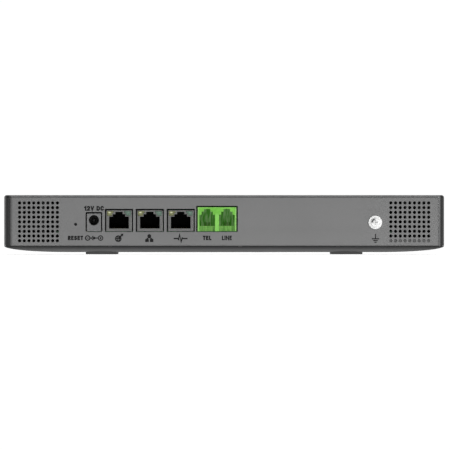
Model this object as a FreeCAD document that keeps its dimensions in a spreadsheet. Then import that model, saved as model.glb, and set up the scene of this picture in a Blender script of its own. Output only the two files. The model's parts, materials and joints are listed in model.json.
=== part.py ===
import FreeCAD, Part
import math
import os
import Sketcher
from FreeCAD import Vector

# Desktop telephone gateway: a low, wide network box with a port panel at the back and a
# display at the front.
#
# Frame: millimetres, +Z up. The origin is on the table under the middle of the box. The port
# panel faces -Y, the display faces +Y, and +X is to the right of somebody who looks at the
# port panel.
#
# The driving dimensions are cells of the sheet "dims". Each piece is an object of this
# document whose sizes are bound to those cells, and its Label names its STEP file.

doc = FreeCAD.newDocument("telephone_gateway")
sheet = doc.addObject("Spreadsheet::Sheet", "dims")

# ---------------------------------------------------------------- driving dimensions

# alias, value, meaning
CELLS = (
    # case
    ("body_w", 270.0, "width of the case"),
    ("body_top", 36.4, "top of the case above the table"),
    ("rear_y", -86.4, "rear face of the cover"),
    ("front_y", 88.0, "front face of the bezel"),
    ("bezel_y", 80.6, "back edge of the bezel, where the cover ends"),
    ("joint_gap", 0.15, "gap between two case parts"),
    ("seam_z", 5.2, "lower edge of the cover, bezel and port panel"),
    ("foot_h", 1.35, "gap between base and table"),
    ("corner_r", 4.5, "radius of the upright corners"),
    ("edge_r", 1.6, "radius of the top edges"),
    ("wall", 2.0, "wall of the plastic case parts"),
    ("hull_rise", 3.85, "height the underside rises at its edges"),
    ("hull_run_x", 40.0, "length of that rise at the sides"),
    ("hull_run_y", 24.0, "length of that rise at front and back"),
    ("rim_x", 15.0, "solid rim of the base at the sides"),
    ("rim_y", 13.0, "solid rim of the base at front and back"),
    ("lip_x", 3.5, "cover corner beside the port panel"),
    ("lip_z", 1.62, "cover lip above the port panel"),
    # port panel
    ("panel_y", -86.0, "outer face of the port panel"),
    ("panel_t", 1.0, "sheet thickness of the port panel"),
    ("flange_d", 15.0, "depth of the panel's foot flange"),
    ("vent_x", 113.9, "middle of a vent grid from the middle of the box"),
    ("vent_z", 20.0, "middle of a vent grid above the table"),
    ("vent_pitch", 2.9, "pitch of the vent holes"),
    ("vent_hole_r", 0.98, "radius of a vent hole"),
    ("vent_count", 9.0, "vent holes along each side of a grid"),
    # boards
    ("board_top", 14.2, "top face of the main board"),
    ("board_t", 1.6, "board thickness"),
    ("board_x", 104.0, "half width of the main board"),
    ("board_rear_y", -84.4, "rear edge of the main board"),
    ("board_front_y", 36.0, "front edge of the main board"),
    ("board_arm_y", 78.0, "front edge of the board's arm"),
    ("board_arm_x", -44.0, "right edge of the board's arm"),
    # ports
    ("port_y", -86.3, "outer faces of the jacks"),
    ("net_x", -45.55, "middle network jack"),
    ("net_pitch", 18.95, "pitch of the network jacks"),
    ("net_w", 15.9, "width of a network jack"),
    ("net_tall", 13.0, "height of a network jack"),
    ("net_d", 21.3, "depth of a network jack"),
    ("skin", 0.3, "sheet thickness of a jack's shield"),
    ("plug_w", 12.1, "width of the plug opening"),
    ("plug_z0", 15.9, "floor of the plug opening"),
    ("plug_z1", 23.2, "shoulder of the plug opening"),
    ("plug_z2", 24.7, "step of the latch slot"),
    ("plug_z3", 26.15, "top of the latch slot"),
    ("latch_w1", 7.7, "width of the lower latch slot"),
    ("latch_w2", 4.5, "width of the upper latch slot"),
    ("plug_d", 13.6, "depth of the plug opening"),
    ("lamp_x0", 4.2, "inner edge of a port lamp from the jack's middle"),
    ("lamp_x1", 7.4, "outer edge of a port lamp"),
    ("lamp_z0", 23.7, "lower edge of a port lamp"),
    ("lamp_z1", 26.7, "upper edge of a port lamp"),
    ("lamp_x2", 3.25, "inner edge of its wider top"),
    ("lamp_z2", 25.25, "lower edge of its wider top"),
    ("tel_x", -4.35, "middle of the double telephone jack"),
    ("tel_half", 6.05, "each telephone opening from the jack's middle"),
    ("tel_w", 23.8, "width of the double telephone jack"),
    ("tel_tall", 14.8, "height of the double telephone jack"),
    ("tel_d", 18.0, "depth of the double telephone jack"),
    ("tel_plug_w", 9.6, "width of a telephone plug opening"),
    ("tel_z0", 17.5, "floor of a telephone opening"),
    ("tel_z1", 24.4, "shoulder of a telephone opening"),
    ("tel_z2", 26.3, "step of its latch slot"),
    ("tel_z3", 27.9, "top of its latch slot"),
    ("dc_x", -79.9, "power jack"),
    ("dc_z", 21.0, "axis of the power jack"),
    ("dc_w", 8.7, "width of the power jack"),
    ("dc_tall", 10.9, "height of the power jack"),
    ("dc_d", 13.8, "depth of the power jack"),
    ("dc_hole_r", 3.1, "barrel hole of the power jack"),
    ("dc_pin_r", 1.0, "centre pin of the power jack"),
    ("reset_x", -91.1, "reset pinhole"),
    ("reset_z", 18.5, "reset pinhole above the table"),
    ("reset_r", 0.9, "radius of the reset pinhole"),
    ("ground_x", 92.8, "ground screw"),
    ("ground_z", 19.65, "ground screw above the table"),
    ("ground_head_r", 2.8, "head of the ground screw"),
    ("ground_washer_r", 4.15, "washer of the ground screw"),
    ("screw_r", 1.5, "thread of an M3 screw"),
    ("screw_hole_r", 1.55, "hole for its thread"),
    # front
    ("face_z", 20.8, "middle line of the front controls"),
    ("recess_t", 1.6, "depth of the bezel's front recess"),
    ("recess_half_x", 127.2, "half width of the recess"),
    ("recess_half_z", 12.0, "half height of the recess"),
    ("web_t", 2.0, "web behind the recess"),
    ("display_x", 75.0, "middle of the display"),
    ("display_w", 54.0, "width of the display window"),
    ("display_tall", 20.6, "height of the display window"),
    ("key_a_x", 25.0, "first key"),
    ("key_b_x", 8.0, "second key"),
    ("key_size", 8.6, "side of a key"),
    ("key_gap", 0.2, "gap around a key in its opening"),
    ("lamp_pitch", 7.0, "pitch of the status lamps"),
    ("lamp_first_x", -10.0, "first status lamp"),
    ("lamp_hole_r", 1.15, "hole for a status lamp"),
    ("usb_x", -60.0, "USB port"),
    ("usb_w", 13.1, "width of the USB port's shell"),
    ("usb_tall", 5.7, "height of the USB port's shell"),
    ("card_x", -88.0, "memory card slot"),
    # feet and screws
    ("foot_x", 75.35, "feet from the middle"),
    ("foot_y_rear", -60.0, "rear feet"),
    ("foot_y_front", 61.0, "front feet"),
    ("foot_r", 9.75, "radius of a foot"),
    ("foot_seat", 0.5, "depth of a foot's seat in the base"),
    ("case_screw_x", 112.0, "case screws from the middle"),
    ("case_screw_y_rear", -58.0, "rear case screws"),
    ("case_screw_y_front", 66.0, "front case screws"),
    ("key_slot_x", 75.0, "wall keyholes from the middle"),
    ("key_hole_r", 4.0, "entry circle of a keyhole"),
    ("key_neck_r", 2.2, "half width of a keyhole's neck"),
)


class Dim:
    """A number that remembers the sheet expression it comes from."""

    def __init__(self, text, value):
        self.text, self.value = text, float(value)

    def joined(self, sign, other, result):
        return Dim("(%s %s %s)" % (self.text, sign, other.text), result)

    def __add__(self, other):
        other = dim(other)
        return self.joined("+", other, self.value + other.value)

    def __sub__(self, other):
        other = dim(other)
        return self.joined("-", other, self.value - other.value)

    def __mul__(self, other):
        other = dim(other)
        return self.joined("*", other, self.value * other.value)

    def __truediv__(self, other):
        other = dim(other)
        return self.joined("/", other, self.value / other.value)

    def __neg__(self):
        return Dim("(0 - %s)" % self.text, -self.value)


def dim(number):
    """The number as a Dim, so that it can stand on the left of a sum with one."""
    return number if isinstance(number, Dim) else Dim(repr(float(number)), number)


class Dims:
    """Holds one Dim per alias of the sheet."""


dims = Dims()
for row, (alias, number, note) in enumerate(CELLS, start=1):
    sheet.set("A%d" % row, alias)
    sheet.set("B%d" % row, str(number))
    sheet.set("C%d" % row, note)
    sheet.setAlias("B%d" % row, alias)
    setattr(dims, alias, Dim("dims." + alias, number))
doc.recompute()

# ---------------------------------------------------------------- outlines
# A list of corners is a polygon, and a tuple (x, y, radius) is a circle. Both are in sketch
# coordinates: (x, y) on plane XY, (x, z) on XZ and (y, z) on YZ.


def rect(left, low, right, high):
    return [(left, low), (right, low), (right, high), (left, high)]


def centred(x, y, half_x, half_y):
    """A rectangle about a middle point."""
    x, y = dim(x), dim(y)
    return rect(x - half_x, y - half_y, x + half_x, y + half_y)


def circles(spots, radius):
    return [(x, y, radius) for x, y in spots]


def cross(x, y, arm, half):
    """The cross recess of a screw: length of an arm from the middle, and its half width."""
    corners = [
        (-half, -arm), (half, -arm), (half, -half), (arm, -half),
        (arm, half), (half, half), (half, arm), (-half, arm),
        (-half, half), (-arm, half), (-arm, -half), (-half, -half),
    ]
    return [(dim(x) + across, dim(y) + along) for across, along in corners]


def plug_opening(x, half_widths, levels):
    """A plug opening with a two-step latch slot above it, symmetric about x."""
    body_half, lower_half, upper_half = half_widths
    floor, shoulder, step, top = levels
    side = [
        (body_half, floor), (body_half, shoulder), (lower_half, shoulder),
        (lower_half, step), (upper_half, step), (upper_half, top),
    ]
    right = [(x + half, z) for half, z in side]
    left = [(x - half, z) for half, z in reversed(side)]
    return right + left


# ---------------------------------------------------------------- sketches and features

# origin plane of a body, and the sign of its normal along the axis of the frame
PLANES = {"XY": ("XY_Plane", 1), "XZ": ("XZ_Plane", -1), "YZ": ("YZ_Plane", 1)}


def bind(obj, prop, size):
    """Ties a property to the expression of a size."""
    obj.setExpression(prop, dim(size).text)


def new_body(label):
    body = doc.addObject("PartDesign::Body", label)
    body.Label = label
    body.AllowCompound = True
    return body


def new_sketch(body, plane, offset):
    """A sketch on an origin plane of the body, at that coordinate along the plane's axis."""
    role, sign = PLANES[plane]
    sketch = body.newObject("Sketcher::SketchObject", body.Name + "_sketch")
    support = [part for part in body.Origin.OriginFeatures if part.Role == role][0]
    sketch.AttachmentSupport = [(support, "")]
    sketch.MapMode = "FlatFace"
    bind(sketch, "AttachmentOffset.Base.z", offset if sign > 0 else -dim(offset))
    return sketch


def constrain(sketch, size, *what):
    """Adds a constraint with a size, tied to the sheet when the size comes from there."""
    index = sketch.addConstraint(Sketcher.Constraint(*what, dim(size).value))
    if isinstance(size, Dim):
        sketch.setExpression("Constraints[%d]" % index, size.text)


def pin_point(sketch, geometry, position, across, along):
    constrain(sketch, across, "DistanceX", -1, 1, geometry, position)
    constrain(sketch, along, "DistanceY", -1, 1, geometry, position)


def flat_point(point):
    return Vector(dim(point[0]).value, dim(point[1]).value, 0)


def join(sketch, line, position, other, other_position):
    sketch.addConstraint(
        Sketcher.Constraint("Coincident", line, position, other, other_position)
    )


def draw_polygon(sketch, points):
    count, first = len(points), sketch.GeometryCount
    for i in range(count):
        start, end = flat_point(points[i]), flat_point(points[(i + 1) % count])
        sketch.addGeometry(Part.LineSegment(start, end), False)
    for i in range(count):
        join(sketch, first + i, 2, first + (i + 1) % count, 1)
    for i in range(count):
        pin_point(sketch, first + i, 1, *points[i])


def draw_circle(sketch, x, y, radius):
    ring = Part.Circle(flat_point((x, y)), Vector(0, 0, 1), dim(radius).value)
    index = sketch.addGeometry(ring, False)
    pin_point(sketch, index, 3, x, y)
    constrain(sketch, radius, "Radius", index)


def volume(body):
    return body.Tip.Shape.Volume if body.Tip is not None else 0.0


def extrude(body, kind, plane, sketch, start, end):
    """Extrudes a sketch as a Pad or a Pocket towards +, from start to end along the axis."""
    is_pad = kind == "Pad"
    before = volume(body)
    feature = body.newObject("PartDesign::" + kind, body.Name + "_" + kind.lower())
    feature.Profile = sketch
    feature.Reversed = (PLANES[plane][1] < 0) == is_pad
    bind(feature, "Length", dim(end) - start)
    doc.recompute()
    change = feature.Shape.Volume - before
    if not (change if is_pad else -change) > 1e-6:
        raise RuntimeError("a %s of %s changed nothing" % (kind, body.Label))
    return feature


def extrude_outlines(body, kind, plane, start, end, outlines):
    sketch = new_sketch(body, plane, start)
    for outline in outlines:
        if isinstance(outline, list):
            draw_polygon(sketch, outline)
        else:
            draw_circle(sketch, *outline)
    return extrude(body, kind, plane, sketch, start, end)


def add(body, plane, start, end, *outlines):
    """Adds material: the outlines on a plane, from start to end along the plane's axis."""
    return extrude_outlines(body, "Pad", plane, start, end, outlines)


def cut(body, plane, start, end, *outlines):
    """Takes material away: the outlines on a plane, from start to end along its axis."""
    return extrude_outlines(body, "Pocket", plane, start, end, outlines)


def near(number, size):
    return abs(number - dim(size).value) < 1e-4


def everywhere(point):
    return True


def edges_where(body, test):
    """Names of the edges whose ends and middle all pass a test."""
    names = []
    for i, edge in enumerate(body.Tip.Shape.Edges, start=1):
        middle = edge.valueAt((edge.FirstParameter + edge.LastParameter) / 2)
        if all(test(point) for point in [v.Point for v in edge.Vertexes] + [middle]):
            names.append("Edge%d" % i)
    return names


def edges_on(body, axis, level):
    """Names of the edges that lie in the plane axis = level."""
    return edges_where(body, lambda p: near(getattr(p, axis), level))


def straight_edges(body, direction, test=everywhere):
    """Names of the straight edges along a direction whose first end passes a test."""
    names = []
    for i, edge in enumerate(body.Tip.Shape.Edges, start=1):
        ends = [v.Point for v in edge.Vertexes]
        if len(ends) == 2 and (ends[0] - ends[1]).cross(direction).Length < 1e-6:
            if test(ends[0]):
                names.append("Edge%d" % i)
    return names


def upright(body, test=everywhere):
    return straight_edges(body, Vector(0, 0, 1), test)


def along_y(body, test=everywhere):
    return straight_edges(body, Vector(0, 1, 0), test)


def without(names, removed):
    return [name for name in names if name not in removed]


def dress(body, kind, size, names):
    """A Fillet or Chamfer on named edges of the body's last feature."""
    if not names:
        raise RuntimeError("no edge of %s to dress" % body.Label)
    last = body.Tip
    feature = body.newObject("PartDesign::" + kind, body.Name + "_" + kind.lower())
    feature.Base = (last, names)
    bind(feature, "Radius" if kind == "Fillet" else "Size", size)
    doc.recompute()
    if feature.Shape.isNull() or not feature.Shape.isValid():
        raise RuntimeError("%s of %s failed" % (kind, body.Label))


def repeat(body, feature, step, count):
    """Repeats a feature in equal steps along its sketch's normal."""
    row = body.newObject("PartDesign::LinearPattern", body.Name + "_pattern")
    row.Originals = [feature]
    row.Direction = (feature.Profile[0], ["N_Axis"])
    bind(row, "Length", dim(step) * (count - 1))
    row.Occurrences = count
    body.Tip = row
    doc.recompute()


NODES = []


def node(obj):
    """Registers an object as a piece with its own STEP file."""
    NODES.append(obj)
    return obj


def group(label, members):
    """One node made of several separate solids."""
    compound = doc.addObject("Part::Compound", label)
    for member in members:
        member.Label = label + "_" + member.Name + "_piece"
    compound.Links = members
    compound.Label = label
    doc.recompute()
    node(compound)


# ---------------------------------------------------------------- shared places

half_w = dims.body_w / 2
cover_front = dims.bezel_y - dims.joint_gap
roof_z = dims.body_top - dims.wall
base_top = dims.seam_z - dims.joint_gap
floor_z = dims.foot_h + dims.wall
panel_in = dims.panel_y + dims.panel_t
flange_top = dims.seam_z + dims.panel_t
board_low = dims.board_top - dims.board_t
recess_y = dims.front_y - dims.recess_t
web_back = recess_y - dims.web_t
fascia_back = recess_y + 0.1

# (x, y) of the screws
post_spots = [
    (dims.case_screw_x * side, y)
    for side in (1, -1)
    for y in (dims.case_screw_y_rear, dims.case_screw_y_front)
]
board_spots = [
    (-98.0, -75.0), (98.0, -75.0), (-98.0, 30.0), (98.0, 30.0), (-48.7, 60.0), (14.0, -24.0),
]
flange_spots = [(x, dims.panel_y + 8.5) for x in (-70.0, 10.0, 70.0)]
foot_spots = [
    (dims.foot_x * side, y) for y in (dims.foot_y_rear, dims.foot_y_front) for side in (-1, 1)
]
case_screw_seat_z = 4.5  # plane under the heads of the case screws

# (name, x) of the network jacks
net_jacks = [
    (name, dims.net_x + dims.net_pitch * k)
    for name, k in (("wan", -1), ("lan", 0), ("heartbeat", 1))
]
# middles of the two telephone openings
tel_xs = [dims.tel_x + dims.tel_half * side for side in (-1, 1)]
tel_opening_d = 13.0

key_xs = (dims.key_a_x, dims.key_b_x)
key_opening = dims.key_size / 2 + dims.key_gap  # half side
lamp_xs = [dims.lamp_first_x - dims.lamp_pitch * i for i in range(5)]
lamp_spots = [(x, dims.face_z) for x in lamp_xs]
display_board_back, display_board_front = 77.7, 79.3
front_board_back, front_board_front = 76.0, 77.6
front_ribbon_x = -4.0
battery_x, battery_y = 62.0, -14.0

# ---------------------------------------------------------------- case


def round_case_part(body, closed_y, open_y):
    """Rounds the upright corners at closed_y, then the top edges except the one at open_y."""
    dress(body, "Fillet", dims.corner_r, upright(body, lambda p: near(p.y, closed_y)))
    top_edges = edges_on(body, "z", dims.body_top)
    dress(body, "Fillet", dims.edge_r, without(top_edges, edges_on(body, "y", open_y)))


def build_top_cover():
    """Roof and side walls, open below, in front and, between its rear corners, at the panel."""
    cover = node(new_body("top_cover"))
    outline = rect(-half_w, dims.rear_y, half_w, cover_front)
    add(cover, "XY", dims.seam_z, dims.body_top, outline)
    round_case_part(cover, dims.rear_y, cover_front)
    inside_x = half_w - dims.wall
    inside = rect(-inside_x, dims.rear_y + dims.wall, inside_x, cover_front + 5)
    cut(cover, "XY", dims.seam_z - 1, roof_z, inside)
    opening_x = half_w - dims.lip_x
    opening = rect(-opening_x, dims.seam_z - 1, opening_x, dims.body_top - dims.lip_z)
    cut(cover, "XZ", dims.rear_y - 1, dims.rear_y + dims.wall + 1, opening)
    # screw posts under the roof
    post_r, post_low, hole_top = 3.6, 6.7, 20.0
    add(cover, "XY", post_low, roof_z + 0.1, *circles(post_spots, post_r))
    cut(cover, "XY", 6.0, hole_top, *circles(post_spots, dims.screw_hole_r))
    # stiffening ribs under the roof, clear of the tall parts
    rib_tall, rib_t = 2.5, 1.2
    rib_x = inside_x + 0.1
    ribs = [rect(-rib_x, y, rib_x, y + rib_t) for y in (46.0, -30.6)]
    add(cover, "XY", roof_z - rib_tall, roof_z + 0.1, *ribs)


def cut_hull(body, plane, start, end, edge, run, side):
    """Cuts away what lies outside a quarter ellipse at one lower edge.

    side is -1 where the edge faces the negative direction of the sketch, 1 otherwise."""
    sketch = new_sketch(body, plane, start)
    centre = (edge - run * side, dims.foot_h + dims.hull_rise)
    ellipse = Part.Ellipse(flat_point(centre), run.value, dims.hull_rise.value)
    first_angle = math.pi if side < 0 else 1.5 * math.pi
    arc = Part.ArcOfEllipse(ellipse, first_angle, first_angle + math.pi / 2)
    sketch.addGeometry(arc, False)
    sketch.exposeInternalGeometry(0)
    major, minor = 1, 2
    low, outside = dims.foot_h - 1, edge + side
    corners = [
        (edge, centre[1]), (outside, centre[1]), (outside, low),
        (centre[0], low), (centre[0], dims.foot_h),
    ]
    line = sketch.GeometryCount
    for i in range(4):
        segment = Part.LineSegment(flat_point(corners[i]), flat_point(corners[i + 1]))
        sketch.addGeometry(segment, False)
    pin_point(sketch, 0, 3, *centre)
    constrain(sketch, run * 2, "Distance", major)
    constrain(sketch, dims.hull_rise * 2, "Distance", minor)
    sketch.addConstraint(Sketcher.Constraint("Horizontal", major))
    for i in range(3):
        join(sketch, line + i, 2, line + i + 1, 1)
    edge_end, flat_end = (1, 2) if side < 0 else (2, 1)
    join(sketch, 0, edge_end, line, 1)
    join(sketch, 0, flat_end, line + 3, 2)
    sketch.addConstraint(Sketcher.Constraint("Horizontal", line))
    sketch.addConstraint(Sketcher.Constraint("Vertical", line + 3))
    for i in (1, 2, 3):
        pin_point(sketch, line + i, 1, *corners[i])
    extrude(body, "Pocket", plane, sketch, start, end)


def build_base():
    """A shallow tray whose underside rises towards all four edges."""
    base = node(new_body("base_shell"))
    outline = rect(-half_w, dims.rear_y, half_w, dims.front_y)
    add(base, "XY", dims.foot_h, base_top, outline)
    dress(base, "Fillet", dims.corner_r, upright(base))
    for edge, side in ((-half_w, -1), (half_w, 1)):
        start, end = dims.rear_y - 1, dims.front_y + 1
        cut_hull(base, "XZ", start, end, edge, dims.hull_run_x, side)
    for edge, side in ((dims.rear_y, -1), (dims.front_y, 1)):
        cut_hull(base, "YZ", -half_w - 1, half_w + 1, edge, dims.hull_run_y, side)
    tray_x = half_w - dims.rim_x
    tray = rect(-tray_x, dims.rear_y + dims.rim_y, tray_x, dims.front_y - dims.rim_y)
    cut(base, "XY", floor_z, dims.seam_z + 1, tray)
    # tongues inside the cover's side walls
    tongue_out = half_w - dims.wall - 0.2
    tongue_in = tongue_out - 1.5
    tongue_y, tongue_top = 76.0, 8.4
    add(
        base, "XY", base_top - 0.1, tongue_top,
        rect(-tongue_out, -tongue_y, -tongue_in, tongue_y),
        rect(tongue_in, -tongue_y, tongue_out, tongue_y),
    )
    # posts under the main board
    add(base, "XY", floor_z - 0.1, board_low, *circles(board_spots, 3.5))
    cut(base, "XY", 5.0, dims.board_top, *circles(board_spots, dims.screw_hole_r))
    # seats for the case screws, recessed from below
    seat_r, head_room_r, shank_room_r = 4.6, 3.3, 1.7
    add(base, "XY", floor_z - 0.1, 6.5, *circles(post_spots, seat_r))
    cut(base, "XY", 0.0, case_screw_seat_z, *circles(post_spots, head_room_r))
    cut(base, "XY", 0.0, 7.5, *circles(post_spots, shank_room_r))
    # blind holes for the screws of the port panel's flange
    cut(base, "XY", 3.3, dims.seam_z + 1, *circles(flange_spots, 1.3))
    # wall keyholes: a head goes in at the circle and the neck slides onto its shank
    entry_y, neck_y = -4.0, 5.0
    for side in (-1, 1):
        x = dims.key_slot_x * side
        neck = rect(x - dims.key_neck_r, entry_y, x + dims.key_neck_r, neck_y)
        for shape in ((x, entry_y, dims.key_hole_r), neck, (x, neck_y, dims.key_neck_r)):
            cut(base, "XY", 0.0, floor_z + 1, shape)
    # air slots in the floor
    slot_pitch, slot_half, slot_length = 5.5, 1.1, 26.0
    slot_xs = [(i - 5) * slot_pitch for i in range(11)]
    for y in (-57.0, 24.0):
        slots = [rect(x - slot_half, y, x + slot_half, y + slot_length) for x in slot_xs]
        cut(base, "XY", 0.0, floor_z + 1, *slots)
    # seats for the feet
    seats = circles(foot_spots, dims.foot_r + 0.1)
    cut(base, "XY", 0.0, dims.foot_h + dims.foot_seat, *seats)


def build_feet():
    names = ("rear_left", "rear_right", "front_left", "front_right")
    feet = []
    for name, (x, y) in zip(names, foot_spots):
        foot = new_body("foot_" + name)
        add(foot, "XY", 0.0, dims.foot_h + dims.foot_seat, (x, y, dims.foot_r))
        dress(foot, "Fillet", 0.45, edges_on(foot, "z", 0.0))
        feet.append(foot)
    group("rubber_feet", feet)


# ---------------------------------------------------------------- port panel


def cut_vent_grid(panel, side):
    """A square grid of vent holes, repeated from its hole nearest -X and the table."""
    reach = dims.vent_pitch * ((dims.vent_count - 1) / 2)
    hole = (dims.vent_x * side - reach, dims.vent_z - reach, dims.vent_hole_r)
    corner = cut(panel, "XZ", dims.panel_y - 1, panel_in + 1, hole)
    grid = panel.newObject("PartDesign::MultiTransform", "vent_grid")
    grid.Originals = [corner]
    steps = []
    for axis in ("H_Axis", "V_Axis"):
        line = panel.newObject("PartDesign::LinearPattern", "vent_line")
        line.Direction = (corner.Profile[0], [axis])
        bind(line, "Length", dims.vent_pitch * (dims.vent_count - 1))
        bind(line, "Occurrences", dims.vent_count)
        steps.append(line)
    grid.Transformations = steps
    panel.Tip = grid
    doc.recompute()


def build_rear_panel():
    """Sheet steel with a flange folded inwards at its foot."""
    panel = node(new_body("rear_panel"))
    panel_x = half_w - dims.lip_x - dims.joint_gap
    panel_top = dims.body_top - dims.lip_z - 0.06
    flange_x = 98.6
    face = rect(-panel_x, dims.seam_z, panel_x, panel_top)
    flange = rect(-flange_x, panel_in - 0.5, flange_x, dims.panel_y + dims.flange_d)
    add(panel, "XZ", dims.panel_y, panel_in, face)
    add(panel, "XY", dims.seam_z, flange_top, flange)
    fold = edges_where(panel, lambda p: near(p.z, dims.seam_z) and near(p.y, dims.panel_y))
    dress(panel, "Fillet", 0.35, fold)

    # middle, half width and top of each jack opening
    jack_openings = [(x, 8.62, 27.95) for name, x in net_jacks]
    jack_openings += [(dims.tel_x, 12.7, 29.8), (dims.dc_x, 5.1, 26.0)]
    low = dims.board_top - 0.4
    cut(
        panel, "XZ", dims.panel_y - 1, panel_in + 1,
        *[rect(x - half, low, x + half, top) for x, half, top in jack_openings],
        (dims.reset_x, dims.reset_z, dims.reset_r),
        (dims.ground_x, dims.ground_z, 1.7),
    )
    power_corners = along_y(
        panel, lambda p: abs(p.x - dims.dc_x.value) < 5.2 and 13.0 < p.z < 26.5
    )
    dress(panel, "Fillet", 0.7, power_corners)
    jack_corners = along_y(panel, lambda p: -75.0 < p.x < 10.0 and 13.0 < p.z < 30.5)
    dress(panel, "Fillet", 0.3, jack_corners)
    for side in (-1, 1):
        cut_vent_grid(panel, side)
    # the lowest row of the right-hand grid is only dimpled: a doubled strip closes it
    strip = centred(dims.vent_x, dims.vent_z - dims.vent_pitch * 4, 13.4, 1.5)
    add(panel, "XZ", dims.panel_y + 0.5, panel_in + 0.5, strip)
    # clearance for the two rear board posts, and the flange's screw holes
    for holes in (circles(board_spots[:2], 4.3), circles(flange_spots, 1.45)):
        cut(panel, "XY", dims.seam_z - 1, flange_top + 1, *holes)


# ---------------------------------------------------------------- front


def display_outline(inset):
    half_x, half_z = dims.display_w / 2 - inset, dims.display_tall / 2 - inset
    return centred(dims.display_x, dims.face_z, half_x, half_z)


def usb_outline(inset):
    """The outline of the USB port's shell, moved inwards."""
    half = dims.usb_w / 2 - inset
    top = dims.board_top + dims.usb_tall - inset
    return rect(dims.usb_x - half, dims.board_top + inset, dims.usb_x + half, top)


def front_openings(display_inset, usb_inset):
    return [
        display_outline(display_inset),
        *[centred(x, dims.face_z, key_opening, key_opening) for x in key_xs],
        usb_outline(usb_inset),
        rect(dims.card_x - 12.6, 14.3, dims.card_x + 12.6, 17.4),
        *circles(lamp_spots, dims.lamp_hole_r),
    ]


def build_front_bezel():
    bezel = node(new_body("front_bezel"))
    outline = rect(-half_w, dims.bezel_y, half_w, dims.front_y)
    add(bezel, "XY", dims.seam_z, dims.body_top, outline)
    round_case_part(bezel, dims.front_y, dims.bezel_y)
    inside_x = half_w - dims.wall
    inside = rect(-inside_x, dims.seam_z + 1.5, inside_x, roof_z)
    cut(bezel, "XZ", dims.bezel_y - 1, web_back, inside)
    half_x, half_z = dims.recess_half_x, dims.recess_half_z
    cut(bezel, "XZ", recess_y, dims.front_y + 1, centred(0, dims.face_z, half_x, half_z))
    recess_corners = along_y(bezel, lambda p: abs(abs(p.x) - half_x.value) < 1e-3)
    dress(bezel, "Fillet", 3.0, recess_corners)
    openings = front_openings(display_inset=1, usb_inset=-0.05)
    cut(bezel, "XZ", web_back - 1, dims.front_y + 1, *openings)
    recess_rim = edges_where(
        bezel,
        lambda p: near(p.y, dims.front_y)
        and abs(p.x) < half_x.value + 0.1
        and abs(p.z - dims.face_z.value) < half_z.value + 0.1,
    )
    dress(bezel, "Chamfer", 0.3, recess_rim)


def build_fascia():
    fascia = node(new_body("fascia_plate"))
    gap = 0.2
    half_x, half_z = dims.recess_half_x - gap, dims.recess_half_z - gap
    plate = centred(0, dims.face_z, half_x, half_z)
    add(fascia, "XZ", fascia_back, dims.front_y, plate)
    dress(fascia, "Fillet", 2.8, along_y(fascia))
    dress(fascia, "Chamfer", 0.25, edges_on(fascia, "y", dims.front_y))
    openings = front_openings(display_inset=0, usb_inset=0.25)
    cut(fascia, "XZ", fascia_back - 1, dims.front_y + 1, *openings)

    def at_opening_edge(number, middle):
        return abs(abs(number - middle.value) - key_opening.value) < 1e-3

    key_corners = along_y(
        fascia,
        lambda p: any(at_opening_edge(p.x, x) for x in key_xs)
        and at_opening_edge(p.z, dims.face_z),
    )
    dress(fascia, "Fillet", 0.8, key_corners)


def build_display():
    """The window in the fascia, and the glass, backlight and board behind it."""
    window = node(new_body("display_window"))
    add(window, "XZ", fascia_back, dims.front_y, display_outline(0.1))
    dress(window, "Chamfer", 0.15, edges_on(window, "y", dims.front_y))

    x, z = dims.display_x, dims.face_z
    glass = node(new_body("display_glass"))
    glass_front = 84.2
    add(glass, "XZ", 82.1, glass_front, centred(x, z, 28.0, 12.3))
    dress(glass, "Chamfer", 0.3, edges_on(glass, "y", glass_front))

    backlight = node(new_body("display_backlight"))
    add(backlight, "XZ", 79.4, 82.05, centred(x, z, 28.5, 12.6))
    cut(backlight, "XZ", 81.3, 83.0, centred(x, z, 26.5, 10.8))

    board = node(new_body("display_board"))
    add(board, "XZ", display_board_back, display_board_front, centred(x, z, 30.0, 12.9))
    hole_spots = [(x + side * 27.5, z + end * 10.6) for side in (-1, 1) for end in (-1, 1)]
    cut(board, "XZ", 77.0, 80.0, *circles(hole_spots, 1.2))


def build_ribbon(label, x, half, board_back):
    """A flat cable from the back of a front board down to a socket on the main board."""
    ribbon = node(new_body(label))
    start_y, start_z, thickness = board_back - 0.1, 14.0, 0.3
    # (y, z) of the upper face
    path = [
        (start_y, start_z),
        (start_y - 5.0, start_z),
        (start_y - 9.0, start_z + 1.5),
        (start_y - 16.0, start_z + 5.5),
        (start_y - 21.0, start_z + 7.0),
        (start_y - 30.0, start_z + 7.0),
        (start_y - 35.0, start_z + 4.5),
        (36.2, 15.75),
        (32.4, 15.75),
    ]
    lower = [(y, z - thickness) for y, z in reversed(path)]
    add(ribbon, "YZ", dim(x) - half, dim(x) + half, path + lower)


def build_front_board():
    """The board of the keys and lamps, left of the display."""
    board = node(new_body("front_board"))
    add(board, "XZ", front_board_back, front_board_front, rect(-42.0, 8.4, 34.0, 33.0))
    hole_spots = [(x, z) for x in (-39.0, 31.0) for z in (11.0, 30.4)]
    cut(board, "XZ", 75.0, 79.0, *circles(hole_spots, 1.4))


def build_key_switches():
    switches = []
    switch_front = 81.1
    for label, x in zip(("switch_a", "switch_b"), key_xs):
        switch = new_body(label)
        outline = centred(x, dims.face_z, 3.0, 3.0)
        add(switch, "XZ", front_board_front, switch_front, outline)
        dress(switch, "Chamfer", 0.3, edges_on(switch, "y", switch_front))
        cut(switch, "XZ", 79.4, 82.0, (x, dims.face_z, 1.72))
        switches.append(switch)
    group("key_switches", switches)


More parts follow.
